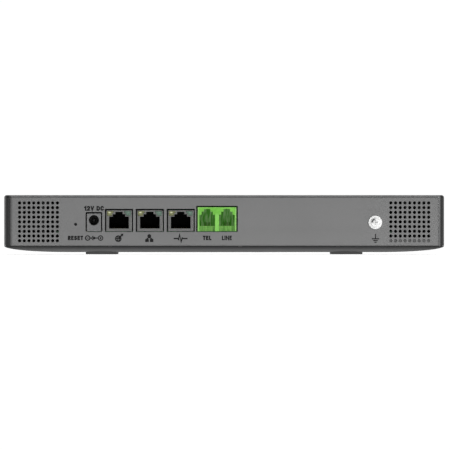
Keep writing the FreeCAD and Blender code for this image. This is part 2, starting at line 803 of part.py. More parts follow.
def build_key(label, x):
    key = node(new_body(label))
    half = dims.key_size / 2
    collar_half = half + 1.1
    key_front = 88.6
    add(key, "XZ", 83.4, key_front, centred(x, dims.face_z, half, half))
    dress(key, "Fillet", 0.75, along_y(key))
    dress(key, "Fillet", 0.35, edges_on(key, "y", key_front))
    add(key, "XZ", 83.2, 84.2, centred(x, dims.face_z, collar_half, collar_half))
    # a shallow finger dish
    cut(key, "XZ", 88.4, 89.0, (x, dims.face_z, 2.9))
    # the stem that works the switch
    add(key, "XZ", 80.0, 83.3, (x, dims.face_z, 1.65))


def build_status_lamps():
    leds = []
    for i, x in enumerate(lamp_xs):
        led = new_body("lamp_chip_%d" % i)
        add(led, "XZ", front_board_front, 78.8, centred(x, dims.face_z, 1.4, 0.9))
        leds.append(led)
    group("status_leds", leds)

    guide = node(new_body("light_guide"))
    bar_back, bar_front = 81.0, 84.2
    margin_x, half_z = 2.6, 2.2
    bar = rect(
        lamp_xs[-1] - margin_x, dims.face_z - half_z, lamp_xs[0] + margin_x, dims.face_z + half_z
    )
    add(guide, "XZ", bar_back, bar_front, bar)
    dress(guide, "Fillet", 0.6, along_y(guide))
    add(guide, "XZ", bar_front - 0.1, dims.front_y - 0.1, *circles(lamp_spots, 1.0))
    add(guide, "XZ", 79.2, bar_back + 0.1, *circles(lamp_spots, 1.3))


# ---------------------------------------------------------------- main board and screws


def build_main_board():
    """A wide board with an arm that reaches to the front at its -X side."""
    board = node(new_body("main_board"))
    outline = [
        (-dims.board_x, dims.board_rear_y),
        (dims.board_x, dims.board_rear_y),
        (dims.board_x, dims.board_front_y),
        (dims.board_arm_x, dims.board_front_y),
        (dims.board_arm_x, dims.board_arm_y),
        (-dims.board_x, dims.board_arm_y),
    ]
    add(board, "XY", board_low, dims.board_top, outline)
    cut(board, "XY", board_low - 1, dims.board_top + 1, *circles(board_spots, 1.65))


def build_screws(label, piece, spots, z, head_r, head_h, shank_r, length, up=True):
    """Pan-head screws along Z. z is the plane under the heads, up tells where they point."""
    z = dim(z)

    def span(low, high):
        """Lower and upper end of a stretch measured from z towards the head."""
        return (z + low, z + high) if up else (z + -high, z + -low)

    screws = []
    for i, (x, y) in enumerate(spots):
        screw = new_body("%s_%d" % (piece, i))
        head = span(0, head_h)
        add(screw, "XY", *head, (x, y, head_r))
        dress(screw, "Fillet", head_h * 0.45, edges_on(screw, "z", head[1 if up else 0]))
        add(screw, "XY", *span(-length, 0.1), (x, y, shank_r))
        recess = cross(x, y, head_r * 0.58, head_r * 0.14)
        cut(screw, "XY", *span(head_h * 0.35, head_h + 1), recess)
        screws.append(screw)
    group(label, screws)


def build_all_screws():
    build_screws(
        "board_screws", "board_screw", board_spots, dims.board_top,
        head_r=2.8, head_h=2.0, shank_r=dims.screw_r, length=8.0,
    )
    build_screws(
        "case_screws", "case_screw", post_spots, case_screw_seat_z,
        head_r=2.8, head_h=2.0, shank_r=dims.screw_r, length=12.0, up=False,
    )
    build_screws(
        "panel_screws", "panel_screw", flange_spots, flange_top,
        head_r=2.3, head_h=1.5, shank_r=1.25, length=2.8,
    )


# ---------------------------------------------------------------- network jacks
# A black insert with the plug opening and its eight contacts, inside a folded shield.


def net_plug(x, grow=0.0):
    half_widths = [width / 2 + grow for width in (dims.plug_w, dims.latch_w1, dims.latch_w2)]
    raised = [level + grow for level in (dims.plug_z1, dims.plug_z2, dims.plug_z3)]
    return plug_opening(x, half_widths, [dims.plug_z0 - grow, *raised])


def port_lamp(x, side, grow=0.0):
    """The lamp reaches over the lower latch step, so it is wider at its top."""
    outer, inner, top_inner = dims.lamp_x1 + grow, dims.lamp_x0 + -grow, dims.lamp_x2 + -grow
    low, high, step = dims.lamp_z0 + -grow, dims.lamp_z1 + grow, dims.lamp_z2 + -grow
    corners = [
        (outer, low), (inner, low), (inner, step),
        (top_inner, step), (top_inner, high), (outer, high),
    ]
    return [(x + across * side, z) for across, z in corners]


def add_contacts(body, x, floor, end_y, flat_low, flat_top, rise, count):
    """A row of bent contact wires, centred on x, that rise from an opening's floor.

    flat_low and flat_top are the lengths of the level part on its lower and upper face."""
    pitch, half_wire, thickness = 1.02, 0.17, 0.3
    start_y = dims.port_y + 4.6
    low = floor + 0.02
    high = low + thickness
    wire = [
        (start_y, low), (start_y + flat_low, low), (end_y, floor + rise),
        (end_y, floor + rise + thickness), (start_y + flat_top, high), (start_y, high),
    ]
    first_x = x - (count - 1) / 2 * pitch
    first = add(body, "YZ", first_x - half_wire, first_x + half_wire, wire)
    repeat(body, first, pitch, count)


def build_network_jack(name, x):
    """Builds one jack, and returns its amber and its green lamp."""
    half = dims.net_w / 2
    top = dims.board_top + dims.net_tall
    front, back = dims.port_y, dims.port_y + dims.net_d
    skin = dims.skin

    shield = node(new_body(name + "_jack_shield"))
    add(shield, "XZ", front, back, rect(x - half, dims.board_top, x + half, top))
    bottom_edges = edges_on(shield, "z", dims.board_top)
    dress(shield, "Fillet", 0.55, without(edges_where(shield, everywhere), bottom_edges))
    inside = rect(x - half + skin, front + skin, x + half - skin, back - skin)
    cut(shield, "XY", dims.board_top - 1, top - skin, inside)
    openings = (net_plug(x), port_lamp(x, -1), port_lamp(x, 1))
    cut(shield, "XZ", front - 1, front + skin + 0.1, *openings)

    insert = node(new_body(name + "_jack_insert"))
    inset = skin + 0.05
    block = rect(x - half + inset, dims.board_top, x + half - inset, top - inset)
    add(insert, "XZ", front + inset, back - inset, block)
    cut(insert, "XZ", front, front + dims.plug_d, net_plug(x, 0.05))
    cut(insert, "XZ", front, front + 9.0, port_lamp(x, -1, 0.1), port_lamp(x, 1, 0.1))

    contacts = node(new_body(name + "_jack_contacts"))
    add_contacts(
        contacts, x, dims.plug_z0, front + dims.plug_d - 0.15,
        flat_low=2.0, flat_top=1.6, rise=2.1, count=8,
    )

    lamps = []
    for side, colour in ((-1, "_amber"), (1, "_green")):
        lamp = new_body(name + colour)
        add(lamp, "XZ", front + 0.1, front + 8.6, port_lamp(x, side, -0.05))
        dress(lamp, "Fillet", 0.3, edges_on(lamp, "y", front + 0.1))
        lamps.append(lamp)
    return lamps


def build_network_jacks():
    amber, green = zip(*[build_network_jack(name, x) for name, x in net_jacks])
    group("amber_port_lamps", list(amber))
    group("green_port_lamps", list(green))


# ---------------------------------------------------------------- other ports


def build_phone_jack():
    """The double telephone jack: one housing with two openings of four contacts each."""
    housing = node(new_body("phone_jack_housing"))
    front, half = dims.port_y, dims.tel_w / 2
    top = dims.board_top + dims.tel_tall
    outline = rect(dims.tel_x - half, dims.board_top, dims.tel_x + half, top)
    add(housing, "XZ", front, front + dims.tel_d, outline)
    dress(housing, "Fillet", 0.4, edges_on(housing, "y", front))
    plug_half = dims.tel_plug_w / 2
    levels = (dims.tel_z0, dims.tel_z1, dims.tel_z2, dims.tel_z3)
    for x in tel_xs:
        opening = plug_opening(x, (plug_half, 3.5, 2.05), levels)
        cut(housing, "XZ", front - 1, front + tel_opening_d, opening)
        # a shallow notch below the opening
        notch = rect(x - plug_half, dims.board_top - 0.5, x + plug_half, dims.tel_z0 + 0.1)
        cut(housing, "XZ", front - 1, front + 1.3, notch)

    rows = []
    for i, x in enumerate(tel_xs):
        wires = new_body("line_wires_%d" % i)
        add_contacts(
            wires, x, dims.tel_z0, front + tel_opening_d - 0.2,
            flat_low=1.5, flat_top=1.2, rise=1.95, count=4,
        )
        rows.append(wires)
    group("phone_jack_contacts", rows)


def build_power_jack():
    housing = node(new_body("dc_jack_housing"))
    x, z, front = dims.dc_x, dims.dc_z, dims.port_y
    half, back = dims.dc_w / 2, dims.port_y + dims.dc_d
    outline = rect(x - half, dims.board_top, x + half, dims.board_top + dims.dc_tall)
    add(housing, "XZ", front, back, outline)
    top_edges = along_y(housing, lambda p: p.z > dims.board_top.value + 1)
    dress(housing, "Fillet", 0.5, top_edges)
    dress(housing, "Fillet", 0.3, edges_on(housing, "y", front))
    barrel_end = front + 10.0
    cut(housing, "XZ", front - 1, barrel_end, (x, z, dims.dc_hole_r))
    mouth = edges_where(
        housing,
        lambda p: near(p.y, front) and Vector(p.x - x.value, 0, p.z - z.value).Length < 3.2,
    )
    dress(housing, "Chamfer", 0.3, mouth)
    # groove for the spring, and the bore of the pin
    cut(housing, "XZ", front + 1.6, barrel_end, rect(x - 0.9, z - 4.0, x + 0.9, z))
    cut(housing, "XZ", front + 9.0, back + 1, (x, z, 1.05))

    pin = node(new_body("dc_jack_pin"))
    tip_y = front + 2.6
    add(pin, "XZ", tip_y, back + 1.0, (x, z, dims.dc_pin_r))
    dress(pin, "Fillet", 0.7, edges_on(pin, "y", tip_y))

    spring = node(new_body("dc_jack_spring"))
    # (y behind the jack's face, z below its axis)
    profile = [
        (2.0, 3.9), (2.4, 3.9), (5.5, 2.7), (9.8, 3.7), (9.8, 3.4), (5.5, 2.4), (2.0, 3.6),
    ]
    corners = [(front + depth, z - drop) for depth, drop in profile]
    add(spring, "YZ", x - 0.8, x + 0.8, corners)


def build_ground_terminal():
    """Screw, washer and the nut pressed into the panel."""
    x, z, seat = dims.ground_x, dims.ground_z, dims.panel_y
    head_back = seat - 0.8
    washer = node(new_body("ground_washer"))
    add(washer, "XZ", head_back, seat, (x, z, dims.ground_washer_r))
    dress(washer, "Fillet", 0.3, edges_on(washer, "y", head_back))
    cut(washer, "XZ", seat - 2.0, seat + 1.0, (x, z, 1.58))

    screw = node(new_body("ground_screw"))
    head_face, thread_end = seat - 2.6, head_back + 7.5
    add(screw, "XZ", head_face, head_back, (x, z, dims.ground_head_r))
    dress(screw, "Fillet", 0.9, edges_on(screw, "y", head_face))
    add(screw, "XZ", head_back - 0.1, thread_end, (x, z, dims.screw_r))
    dress(screw, "Chamfer", 0.4, edges_on(screw, "y", thread_end))
    cut(screw, "XZ", head_face - 1, head_face + 1.3, cross(x, z, arm=1.55, half=0.42))

    nut = node(new_body("ground_nut"))
    add(nut, "XZ", panel_in + 0.02, panel_in + 3.0, (x, z, 3.4))
    cut(nut, "XZ", panel_in - 1, panel_in + 4.0, (x, z, dims.screw_hole_r))


def build_reset_switch():
    x, z = dims.reset_x, dims.reset_z
    reset = node(new_body("reset_switch"))
    face_y = dims.panel_y + 4.4
    outline = rect(x - 3.0, dims.board_top, x + 3.0, z + 2.6)
    add(reset, "XZ", face_y, dims.panel_y + 8.4, outline)
    dress(reset, "Chamfer", 0.3, edges_on(reset, "y", face_y))
    cut(reset, "XZ", dims.panel_y + 4.0, dims.panel_y + 6.4, (x, z, 1.52))

    plunger = node(new_body("reset_plunger"))
    tip_y = dims.panel_y + 2.2
    add(plunger, "XZ", tip_y, dims.panel_y + 6.0, (x, z, 1.45))
    dress(plunger, "Fillet", 0.25, edges_on(plunger, "y", tip_y))


def build_usb_port():
    shell = node(new_body("usb_port_shell"))
    wall = 0.3
    add(shell, "XZ", 72.2, 86.2, usb_outline(0))
    dress(shell, "Fillet", 0.5, along_y(shell))
    cut(shell, "XZ", 72.2 + wall, 87.0, usb_outline(wall))

    tongue = node(new_body("usb_port_tongue"))
    x, z = dims.usb_x, dims.board_top
    add(tongue, "XZ", 72.6, 75.6, usb_outline(wall + 0.05))
    add(tongue, "XZ", 75.5, 84.8, rect(x - 5.6, z + 3.1, x + 5.6, z + 4.9))


def build_card_socket():
    card = node(new_body("card_socket"))
    x, z = dims.card_x, dims.board_top
    add(card, "XZ", 56.0, 84.0, rect(x - 13.8, z, x + 13.8, z + 3.6))
    cut(card, "XZ", 60.0, 85.0, rect(x - 12.2, z + 0.5, x + 12.2, z + 2.9))


# ---------------------------------------------------------------- components of the main board


def chip(label, x, y, width, depth, height, bevel=0.15, low=dims.board_top):
    """A moulded component package, given by its middle and its underside."""
    package = new_body(label)
    add(package, "XY", low, low + height, centred(x, y, width / 2, depth / 2))
    if bevel:
        dress(package, "Chamfer", bevel, edges_on(package, "z", low + height))
    return package


def build_processor():
    """The processor with its thermal pad and heatsink."""
    x, y = -20.0, -18.0
    node(chip("processor", x, y, 17.0, 17.0, 1.4))
    node(chip("thermal_pad", x, y, 15.0, 15.0, 0.6, bevel=0, low=dims.board_top + 1.42))

    sink = node(new_body("heatsink"))
    low, half = dims.board_top + 2.05, 16.0
    fin_pitch, fin_t = 3.85, 1.2
    add(sink, "XY", low, low + 2.0, centred(x, y, half, half))
    fin_xs = [x - half + fin_pitch * i for i in range(9)]
    fins = [rect(fin_x, y - half, fin_x + fin_t, y + half) for fin_x in fin_xs]
    add(sink, "XY", low + 1.9, low + 9.5, *fins)


# label, x, y, width, depth, height, and the bevel where it is not the usual one
SINGLE_CHIPS = (
    ("flash_memory", -20.0, 14.0, 11.5, 13.0, 1.0),
    ("ethernet_chip", -45.5, -50.0, 14.0, 14.0, 1.2),
)
CHIP_GROUPS = {
    "memory_chips": (
        ("memory_a", -50.0, -26.0, 9.0, 13.5, 1.1),
        ("memory_b", -50.0, -8.0, 9.0, 13.5, 1.1),
    ),
    "line_interface_chips": (
        ("line_chip_a", -12.0, -54.0, 7.0, 7.0, 0.9),
        ("line_chip_b", 4.0, -54.0, 7.0, 7.0, 0.9),
    ),
    "line_relays": (
        ("relay_a", 16.5, -72.0, 7.5, 15.0, 9.0, 0.4),
        ("relay_b", 27.5, -72.0, 7.5, 15.0, 9.0, 0.4),
    ),
    "power_coils": (
        ("coil_a", -88.0, -48.0, 7.3, 7.3, 4.0, 0.6),
        ("coil_b", -76.0, -48.0, 7.3, 7.3, 4.0, 0.6),
        ("coil_c", -88.0, -34.0, 5.2, 5.2, 3.0, 0.5),
    ),
}


def build_chips():
    for entry in SINGLE_CHIPS:
        node(chip(*entry))
    for label, entries in CHIP_GROUPS.items():
        group(label, [chip(*entry) for entry in entries])


def build_capacitors():
    """Upright cans on square feet."""
    foot_half, foot_tall, can_r = 4.2, 1.2, 4.0
    can_top = dims.board_top + 10.2
    foot_top = dims.board_top + foot_tall
    cans = []
    for i, (x, y) in enumerate(((-89.0, -60.0), (-78.5, -60.0), (42.0, -66.0), (54.0, -66.0))):
        can = new_body("can_%d" % i)
        add(can, "XY", dims.board_top, foot_top, centred(x, y, foot_half, foot_half))
        add(can, "XY", foot_top - 0.1, can_top, (x, y, can_r))
        dress(can, "Fillet", 0.5, edges_on(can, "z", can_top))
        cans.append(can)
    group("capacitors", cans)


def build_clock_battery():
    """A coin cell in a round holder with a notch towards -X."""
    x, y, z = battery_x, battery_y, dims.board_top
    holder = node(new_body("battery_holder"))
    add(holder, "XY", z, z + 4.6, (x, y, 12.0))
    cut(holder, "XY", z + 1.0, z + 6.0, (x, y, 10.2))
    cut(holder, "XY", z + 1.0, z + 6.0, rect(x - 14.0, y - 3.0, x, y + 3.0))

    coin = node(new_body("clock_battery"))
    coin_top = z + 4.3
    add(coin, "XY", z + 1.1, coin_top, (x, y, 10.0))
    dress(coin, "Fillet", 0.4, edges_on(coin, "z", coin_top))


def build_ribbon_sockets():
    sockets = []
    z = dims.board_top
    for i, (x, half) in enumerate(((dims.display_x, 11.0), (dim(front_ribbon_x), 9.0))):
        socket = new_body("ribbon_socket_%d" % i)
        add(socket, "XY", z, z + 2.4, rect(x - half, 29.6, x + half, 34.6))
        slot_half = half - 1.5
        slot = rect(x - slot_half, z + 0.9, x + slot_half, z + 1.8)
        cut(socket, "XZ", 32.0, 36.0, slot)
        sockets.append(socket)
    group("ribbon_sockets", sockets)


# ---------------------------------------------------------------- build everything

build_top_cover()
build_base()
build_feet()
build_rear_panel()
build_front_bezel()
build_fascia()
build_display()
build_ribbon("display_ribbon", dims.display_x, 9.0, display_board_back)
build_front_board()
build_ribbon("front_ribbon", front_ribbon_x, 7.0, front_board_back)
build_key_switches()
build_key("ok_key", dims.key_a_x)
build_key("down_key", dims.key_b_x)
build_status_lamps()
build_main_board()
build_all_screws()
build_network_jacks()
build_phone_jack()
build_power_jack()
build_ground_terminal()
build_reset_switch()
build_usb_port()
build_card_socket()
build_processor()
build_chips()
build_capacitors()
build_clock_battery()
build_ribbon_sockets()

# ---------------------------------------------------------------- check and export

doc.recompute()
for obj in doc.Objects:
    if "Invalid" in obj.State or "Error" in obj.State:
        raise RuntimeError("%s failed: %s" % (obj.Label, obj.State))
for obj in NODES:
    shape = obj.Shape
    if shape.isNull() or not shape.isValid() or not shape.Solids:
        raise RuntimeError("%s has no valid solid" % obj.Label)
    if any(not solid.isClosed() or solid.Volume <= 0 for solid in shape.Solids):
        raise RuntimeError("%s has an open solid" % obj.Label)

os.makedirs("parts", exist_ok=True)
for obj in NODES:
    obj.Shape.exportStep(os.path.join("parts", obj.Label + ".step"))
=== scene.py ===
"""A small desktop network box with a front display, keys and a rear panel of jacks.

It stands on z = 0. Its rear panel looks along -y towards the camera, its front along +y,
and -x is the left side as the camera sees it. The script gives each CAD piece a procedural
material, adds the thin prints and the rating sticker, and sets up a white studio.
"""

import json
import math

import bmesh
import bpy
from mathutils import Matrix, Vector


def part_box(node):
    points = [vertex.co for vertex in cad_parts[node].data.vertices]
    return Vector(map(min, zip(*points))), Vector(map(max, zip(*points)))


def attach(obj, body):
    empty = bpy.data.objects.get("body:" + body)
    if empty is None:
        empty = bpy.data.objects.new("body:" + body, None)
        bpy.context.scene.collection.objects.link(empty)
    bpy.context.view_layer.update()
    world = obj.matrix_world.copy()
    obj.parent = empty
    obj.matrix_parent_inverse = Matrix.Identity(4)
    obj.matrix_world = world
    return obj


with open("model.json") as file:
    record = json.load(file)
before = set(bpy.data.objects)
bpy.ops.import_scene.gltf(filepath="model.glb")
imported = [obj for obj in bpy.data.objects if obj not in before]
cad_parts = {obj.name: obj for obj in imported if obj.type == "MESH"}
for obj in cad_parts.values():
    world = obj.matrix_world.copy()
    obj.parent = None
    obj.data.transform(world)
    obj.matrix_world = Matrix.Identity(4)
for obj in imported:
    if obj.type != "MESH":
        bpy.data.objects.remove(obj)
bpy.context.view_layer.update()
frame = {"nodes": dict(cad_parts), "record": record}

scene = bpy.context.scene
nodes = frame["nodes"]
MM = 0.001


def middle(name, axis=0):
    """The middle of a piece along an axis, in millimetres."""
    low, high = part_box(name)
    return (low[axis] + high[axis]) * 500


def low_mm(name, axis):
    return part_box(name)[0][axis] * 1000


def high_mm(name, axis):
    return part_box(name)[1][axis] * 1000


# ------------------------------------------------------------------ node building


class Nodes:
    """A node tree that is emptied and built anew."""

    def __init__(self, tree):
        self.tree = tree
        tree.nodes.clear()

    def node(self, kind, inputs=None, **props):
        """Adds a node, sets its properties and then its inputs, each to a value or an output."""
        new = self.tree.nodes.new("ShaderNode" + kind)
        for key, value in props.items():
            setattr(new, key, value)
        for key, value in (inputs or {}).items():
            self.put(new.inputs[key], value)
        return new

    def put(self, socket, value):
        if hasattr(value, "node"):
            self.tree.links.new(value, socket)
        elif isinstance(value, tuple) and len(value) == 3 and len(socket.default_value) == 4:
            socket.default_value = (*value, 1.0)
        else:
            socket.default_value = value


SURFACE_INPUTS = {
    "color": "Base Color",
    "rough": "Roughness",
    "metal": "Metallic",
    "ior": "IOR",
    "spec": "Specular IOR Level",
    "coat": "Coat Weight",
    "coat_rough": "Coat Roughness",
    "glass": "Transmission Weight",
    "emit": "Emission Color",
    "emit_power": "Emission Strength",
}


class Shader(Nodes):
    """A Principled material, with coordinates in millimetres of the object's own frame."""

    def __init__(self, name):
        self.material = bpy.data.materials.new(name)
        self.material.use_nodes = True
        super().__init__(self.material.node_tree)
        self.bsdf = self.node("BsdfPrincipled")
        self.node("OutputMaterial", {"Surface": self.bsdf.outputs["BSDF"]})
        own = self.node("TexCoord").outputs["Object"]
        self.coords = self.node("VectorMath", {0: own, "Scale": 1000.0}, operation="SCALE").outputs[0]
        self.relief = None

    def math(self, operation, a, b=0.0):
        return self.node("Math", {0: a, 1: b}, operation=operation).outputs[0]

    def plus(self, a, b):
        return self.math("ADD", a, b)

    def minus(self, a, b):
        return self.math("SUBTRACT", a, b)

    def times(self, a, b):
        return self.math("MULTIPLY", a, b)

    def distance(self, a, b, squash=None):
        """Distance from the offsets a and b. squash weighs the square of b."""
        a_squared = self.times(a, a)
        b_squared = self.times(b, b)
        if squash:
            b_squared = self.times(b_squared, squash)
        return self.math("SQRT", self.plus(a_squared, b_squared))

    def xyz(self, vector=None):
        return self.node("SeparateXYZ", {0: vector or self.coords}).outputs[:]

    def facing(self):
        """The three parts of the surface normal."""
        return self.xyz(self.node("NewGeometry").outputs["Normal"])

    def stretch(self, factors):
        return self.node("VectorMath", {0: self.coords, 1: factors}, operation="MULTIPLY").outputs[0]

    def noise(self, size, detail=2.0, rough=0.5, at=None, distortion=0.0):
        """Noise whose features are about size millimetres wide."""
        inputs = {
            "Scale": 1.0 / size,
            "Detail": detail,
            "Roughness": rough,
            "Distortion": distortion,
            "Vector": at or self.coords,
        }
        return self.node("TexNoise", inputs).outputs[0]

    def voronoi(self, size):
        """Distance to the middle of cells about size millimetres wide."""
        inputs = {"Scale": 1.0 / size, "Vector": self.coords}
        return self.node("TexVoronoi", inputs).outputs["Distance"]

    def spread(self, value, start, end, to=(0.0, 1.0)):
        """Maps start..end to the range to, held at both ends. start may be above end."""
        inputs = {
            "Value": value,
            "From Min": start,
            "From Max": end,
            "To Min": to[0],
            "To Max": to[1],
        }
        return self.node("MapRange", inputs, clamp=True).outputs[0]

    def mix(self, mask, a, b):
        return self.node("Mix", {0: mask, 6: a, 7: b}, data_type="RGBA").outputs[2]

    def layer(self, base, mask, color, amount):
        """Lays a colour over base where mask is 1, as strongly as amount."""
        return self.mix(self.times(mask, amount), base, color)

    def mottle(self, color, value, start, end, shades):
        """Varies a colour between two shades as value goes from start to end."""
        dark, light = shades
        return self.mix(self.spread(value, start, end), shade(color, dark), shade(color, light))

    def edges(self, radius):
        """1 on sharp outer edges and 0 on open faces."""
        bevel = self.node("Bevel", {"Radius": radius * MM}, samples=4)
        flat = self.node("NewGeometry")
        inputs = {0: bevel.outputs[0], 1: flat.outputs["Normal"]}
        alike = self.node("VectorMath", inputs, operation="DOT_PRODUCT").outputs["Value"]
        return self.spread(alike, 0.995, 0.80)

    def bump(self, height, depth, strength):
        """Adds relief. height is 0 to 1 and depth is in millimetres."""
        inputs = {"Strength": strength, "Distance": depth * MM, "Height": height}
        if self.relief is not None:
            inputs["Normal"] = self.relief
        self.relief = self.node("Bump", inputs).outputs[0]
        self.put(self.bsdf.inputs["Normal"], self.relief)

    def finish(self, **values):
        """Sets the surface inputs and returns the material."""
        for key, value in values.items():
            self.put(self.bsdf.inputs[SURFACE_INPUTS[key]], value)
        return self.material


def shade(color, factor):
    return tuple(max(0.0, min(1.0, part * factor)) for part in color)


# ------------------------------------------------------------------ plastics, paint and metal


def moulded(name, color, rough, grain, depth, wear=0.35, spec=0.5, side=None, low=None):
    """Injection-moulded plastic: eroded grain, slight shade drift, rubbed edges and a little dust.

    side is a painted shade: the darker colour given to faces that look left and right, where less
    light falls. Below the height low the surface is painted paler, a painted light from the floor."""
    mat = Shader(name)
    fine = mat.noise(grain, detail=3.0, rough=0.6)
    drift = mat.noise(38.0)
    dust = mat.spread(mat.noise(0.55, detail=1.0), 0.66, 0.78)
    base = mat.mottle(color, drift, 0.3, 0.7, shades=(0.97, 1.03))
    base = mat.layer(base, mat.spread(fine, 0.35, 0.65), shade(color, 1.22), amount=0.35)
    base = mat.layer(base, dust, shade(color, 2.2), amount=0.10)
    upward_rough = 0.0
    if side:
        face_x, face_y, face_z = mat.facing()
        dark = mat.mottle(side, fine, 0.35, 0.65, shades=(0.92, 1.18))
        # Painted light: rear faces are paler, and paler still where they turn to the right.
        rear = mat.times(mat.spread(face_y, -0.45, -0.85), mat.spread(face_x, -0.10, -0.02))
        base = mat.mix(rear, base, shade(color, 1.92))
        base = mat.layer(base, rear, shade(color, 2.1), amount=mat.spread(face_x, 0.08, 0.2))
        # Painted shade: faces that look left and right take the darker side colour.
        left, right = mat.spread(face_x, -0.06, -0.45), mat.spread(face_x, 0.30, 0.60)
        base = mat.mix(mat.math("MAXIMUM", left, right), base, dark)
        upward_rough = mat.spread(face_z, 0.80, 0.985, to=(0.0, 0.24))
    if low:
        z = mat.xyz()[2]
        # Painted light from the floor: paler below the height low.
        base = mat.mix(mat.spread(z, low, low - 1.5), base, shade(color, 2.3))
    patches = mat.spread(mat.noise(2.2, detail=3.0), 0.35, 0.75, to=(0.0, wear))
    base = mat.mix(mat.times(mat.edges(radius=0.3), patches), base, shade(color, 1.9))
    broad = mat.noise(22.0, detail=3.0, rough=0.55)
    sheen = mat.spread(broad, 0.3, 0.7, to=(rough - 0.012, rough + 0.014))
    sheen = mat.plus(sheen, mat.spread(fine, 0.3, 0.7, to=(-0.03, 0.03)))
    sheen = mat.plus(sheen, upward_rough)
    mat.bump(mat.voronoi(grain * 1.2), depth=depth, strength=0.55)
    mat.bump(fine, depth=depth * 0.8, strength=0.5)
    return mat.finish(color=base, rough=sheen, spec=spec)


def powder_coat(name, color):
    """Powder-coated steel: orange peel, fine pigment grain and dark cut edges.

    The holes and dimples get painted shade, and the left edge a painted shadow."""
    mat = Shader(name)
    panel_x, panel_y = low_mm("rear_panel", 0), low_mm("rear_panel", 1)
    dark_grey, black = (0.02, 0.02, 0.02), (0.008, 0.008, 0.008)
    x, y, z = mat.xyz()
    pigment = mat.noise(0.16, rough=0.7)
    base = mat.mottle(color, mat.noise(60.0), 0.35, 0.65, shades=(0.97, 1.03))
    base = mat.layer(base, mat.spread(pigment, 0.4, 0.62), shade(color, 0.80), amount=0.30)
    dots = mat.spread(mat.voronoi(0.55), 0.13, 0.05)
    base = mat.layer(base, dots, shade(color, 1.45), amount=0.25)
    # Changes with height: darker upwards and paler towards the foot. Along the top edge, under the
    # cover's lip, a painted light.
    base = mat.mix(mat.spread(z, 20.0, 33.0, to=(0.0, 0.075)), base, dark_grey)
    base = mat.mix(mat.spread(z, 15.0, 5.8, to=(0.0, 0.15)), base, shade(color, 1.8))
    base = mat.mix(mat.spread(z, 34.0, 34.7, to=(0.0, 0.24)), base, shade(color, 1.8))
    base = mat.layer(base, mat.edges(radius=0.18), (0.045, 0.045, 0.045), amount=0.62)
    # Painted shade behind the panel's face: in the dimples first, then on the walls of the holes.
    face_y = mat.facing()[1]
    pit_shade = mat.spread(y, panel_y + 0.22, panel_y + 0.45)
    base = mat.layer(base, pit_shade, dark_grey, amount=0.50)
    wall = mat.spread(mat.math("ABSOLUTE", face_y), 0.6, 0.2)
    bore_shade = mat.times(wall, mat.spread(y, panel_y + 0.02, panel_y + 0.10))
    base = mat.layer(base, bore_shade, black, amount=0.92)
    # Painted shadow along the left edge, next to the cover's corner.
    left_edge_shadow = mat.spread(x, panel_x + 1.8, panel_x + 0.1, to=(0.0, 0.72))
    base = mat.mix(left_edge_shadow, base, black)
    sheen = mat.spread(mat.noise(9.0, detail=3.0), 0.3, 0.7, to=(0.50, 0.62))
    mat.bump(mat.noise(0.65, rough=0.45), depth=0.010, strength=0.5)
    mat.bump(pigment, depth=0.004, strength=0.4)
    return mat.finish(color=base, rough=sheen, spec=0.35)


def gloss(name, color, rough, spec):
    """Polished plastic with faint finger smears and hairlines."""
    mat = Shader(name)
    smear = mat.spread(mat.noise(16.0, detail=4.0, rough=0.65, distortion=0.6), 0.45, 0.75)
    hair = mat.spread(mat.noise(0.5, at=mat.stretch((0.05, 1.0, 1.7))), 0.62, 0.75)
    base = mat.layer(shade(color, 0.92), smear, shade(color, 1.25), amount=0.25)
    sheen = mat.plus(mat.times(smear, 0.06), rough)
    sheen = mat.plus(sheen, mat.times(hair, 0.03))
    mat.bump(mat.noise(7.0), depth=0.012, strength=0.25)
    return mat.finish(color=base, rough=sheen, spec=spec, coat=0.0, coat_rough=0.05)


def plated(name, color, rough, brush=(0.06, 1.0, 1.0), tarnish=0.25, size=0.35):
    """Plated or drawn metal: grain, cloudy tarnish and small scratches.

    The grain runs along the axis where brush is smallest, and its lines are size wide."""
    mat = Shader(name)
    lines = mat.noise(size, detail=3.0, rough=0.6, at=mat.stretch(brush))
    cloud = mat.noise(5.0, detail=4.0, rough=0.6)
    along_z = mat.stretch((1.0, 1.0, 0.08))
    scratch = mat.spread(mat.noise(0.25, detail=1.0, at=along_z), 0.68, 0.76)
    base = mat.layer(color, mat.spread(cloud, 0.42, 0.72), shade(color, 0.62), amount=tarnish)
    base = mat.layer(base, mat.spread(lines, 0.35, 0.65), shade(color, 1.18), amount=0.22)
    sheen = mat.spread(lines, 0.3, 0.7, to=(rough - 0.07, rough + 0.09))
    sheen = mat.plus(sheen, mat.times(mat.spread(cloud, 0.4, 0.7), 0.08))
    mat.bump(lines, depth=0.004, strength=0.5)
    mat.bump(scratch, depth=0.003, strength=0.4)
    return mat.finish(color=base, rough=sheen, metal=1.0)


def rubber(name, color):
    """Matt rubber with patches of dust."""
    mat = Shader(name)
    grain = mat.noise(0.22, detail=3.0, rough=0.65)
    dust = mat.spread(mat.noise(3.0, detail=4.0, rough=0.6), 0.48, 0.75)
    base = mat.mottle(color, grain, 0.35, 0.65, shades=(0.85, 1.12))
    base = mat.layer(base, dust, (0.20, 0.19, 0.18), amount=0.35)
    mat.bump(grain, depth=0.02, strength=0.6)
    return mat.finish(color=base, rough=mat.spread(dust, 0, 1, to=(0.72, 0.90)), spec=0.25)


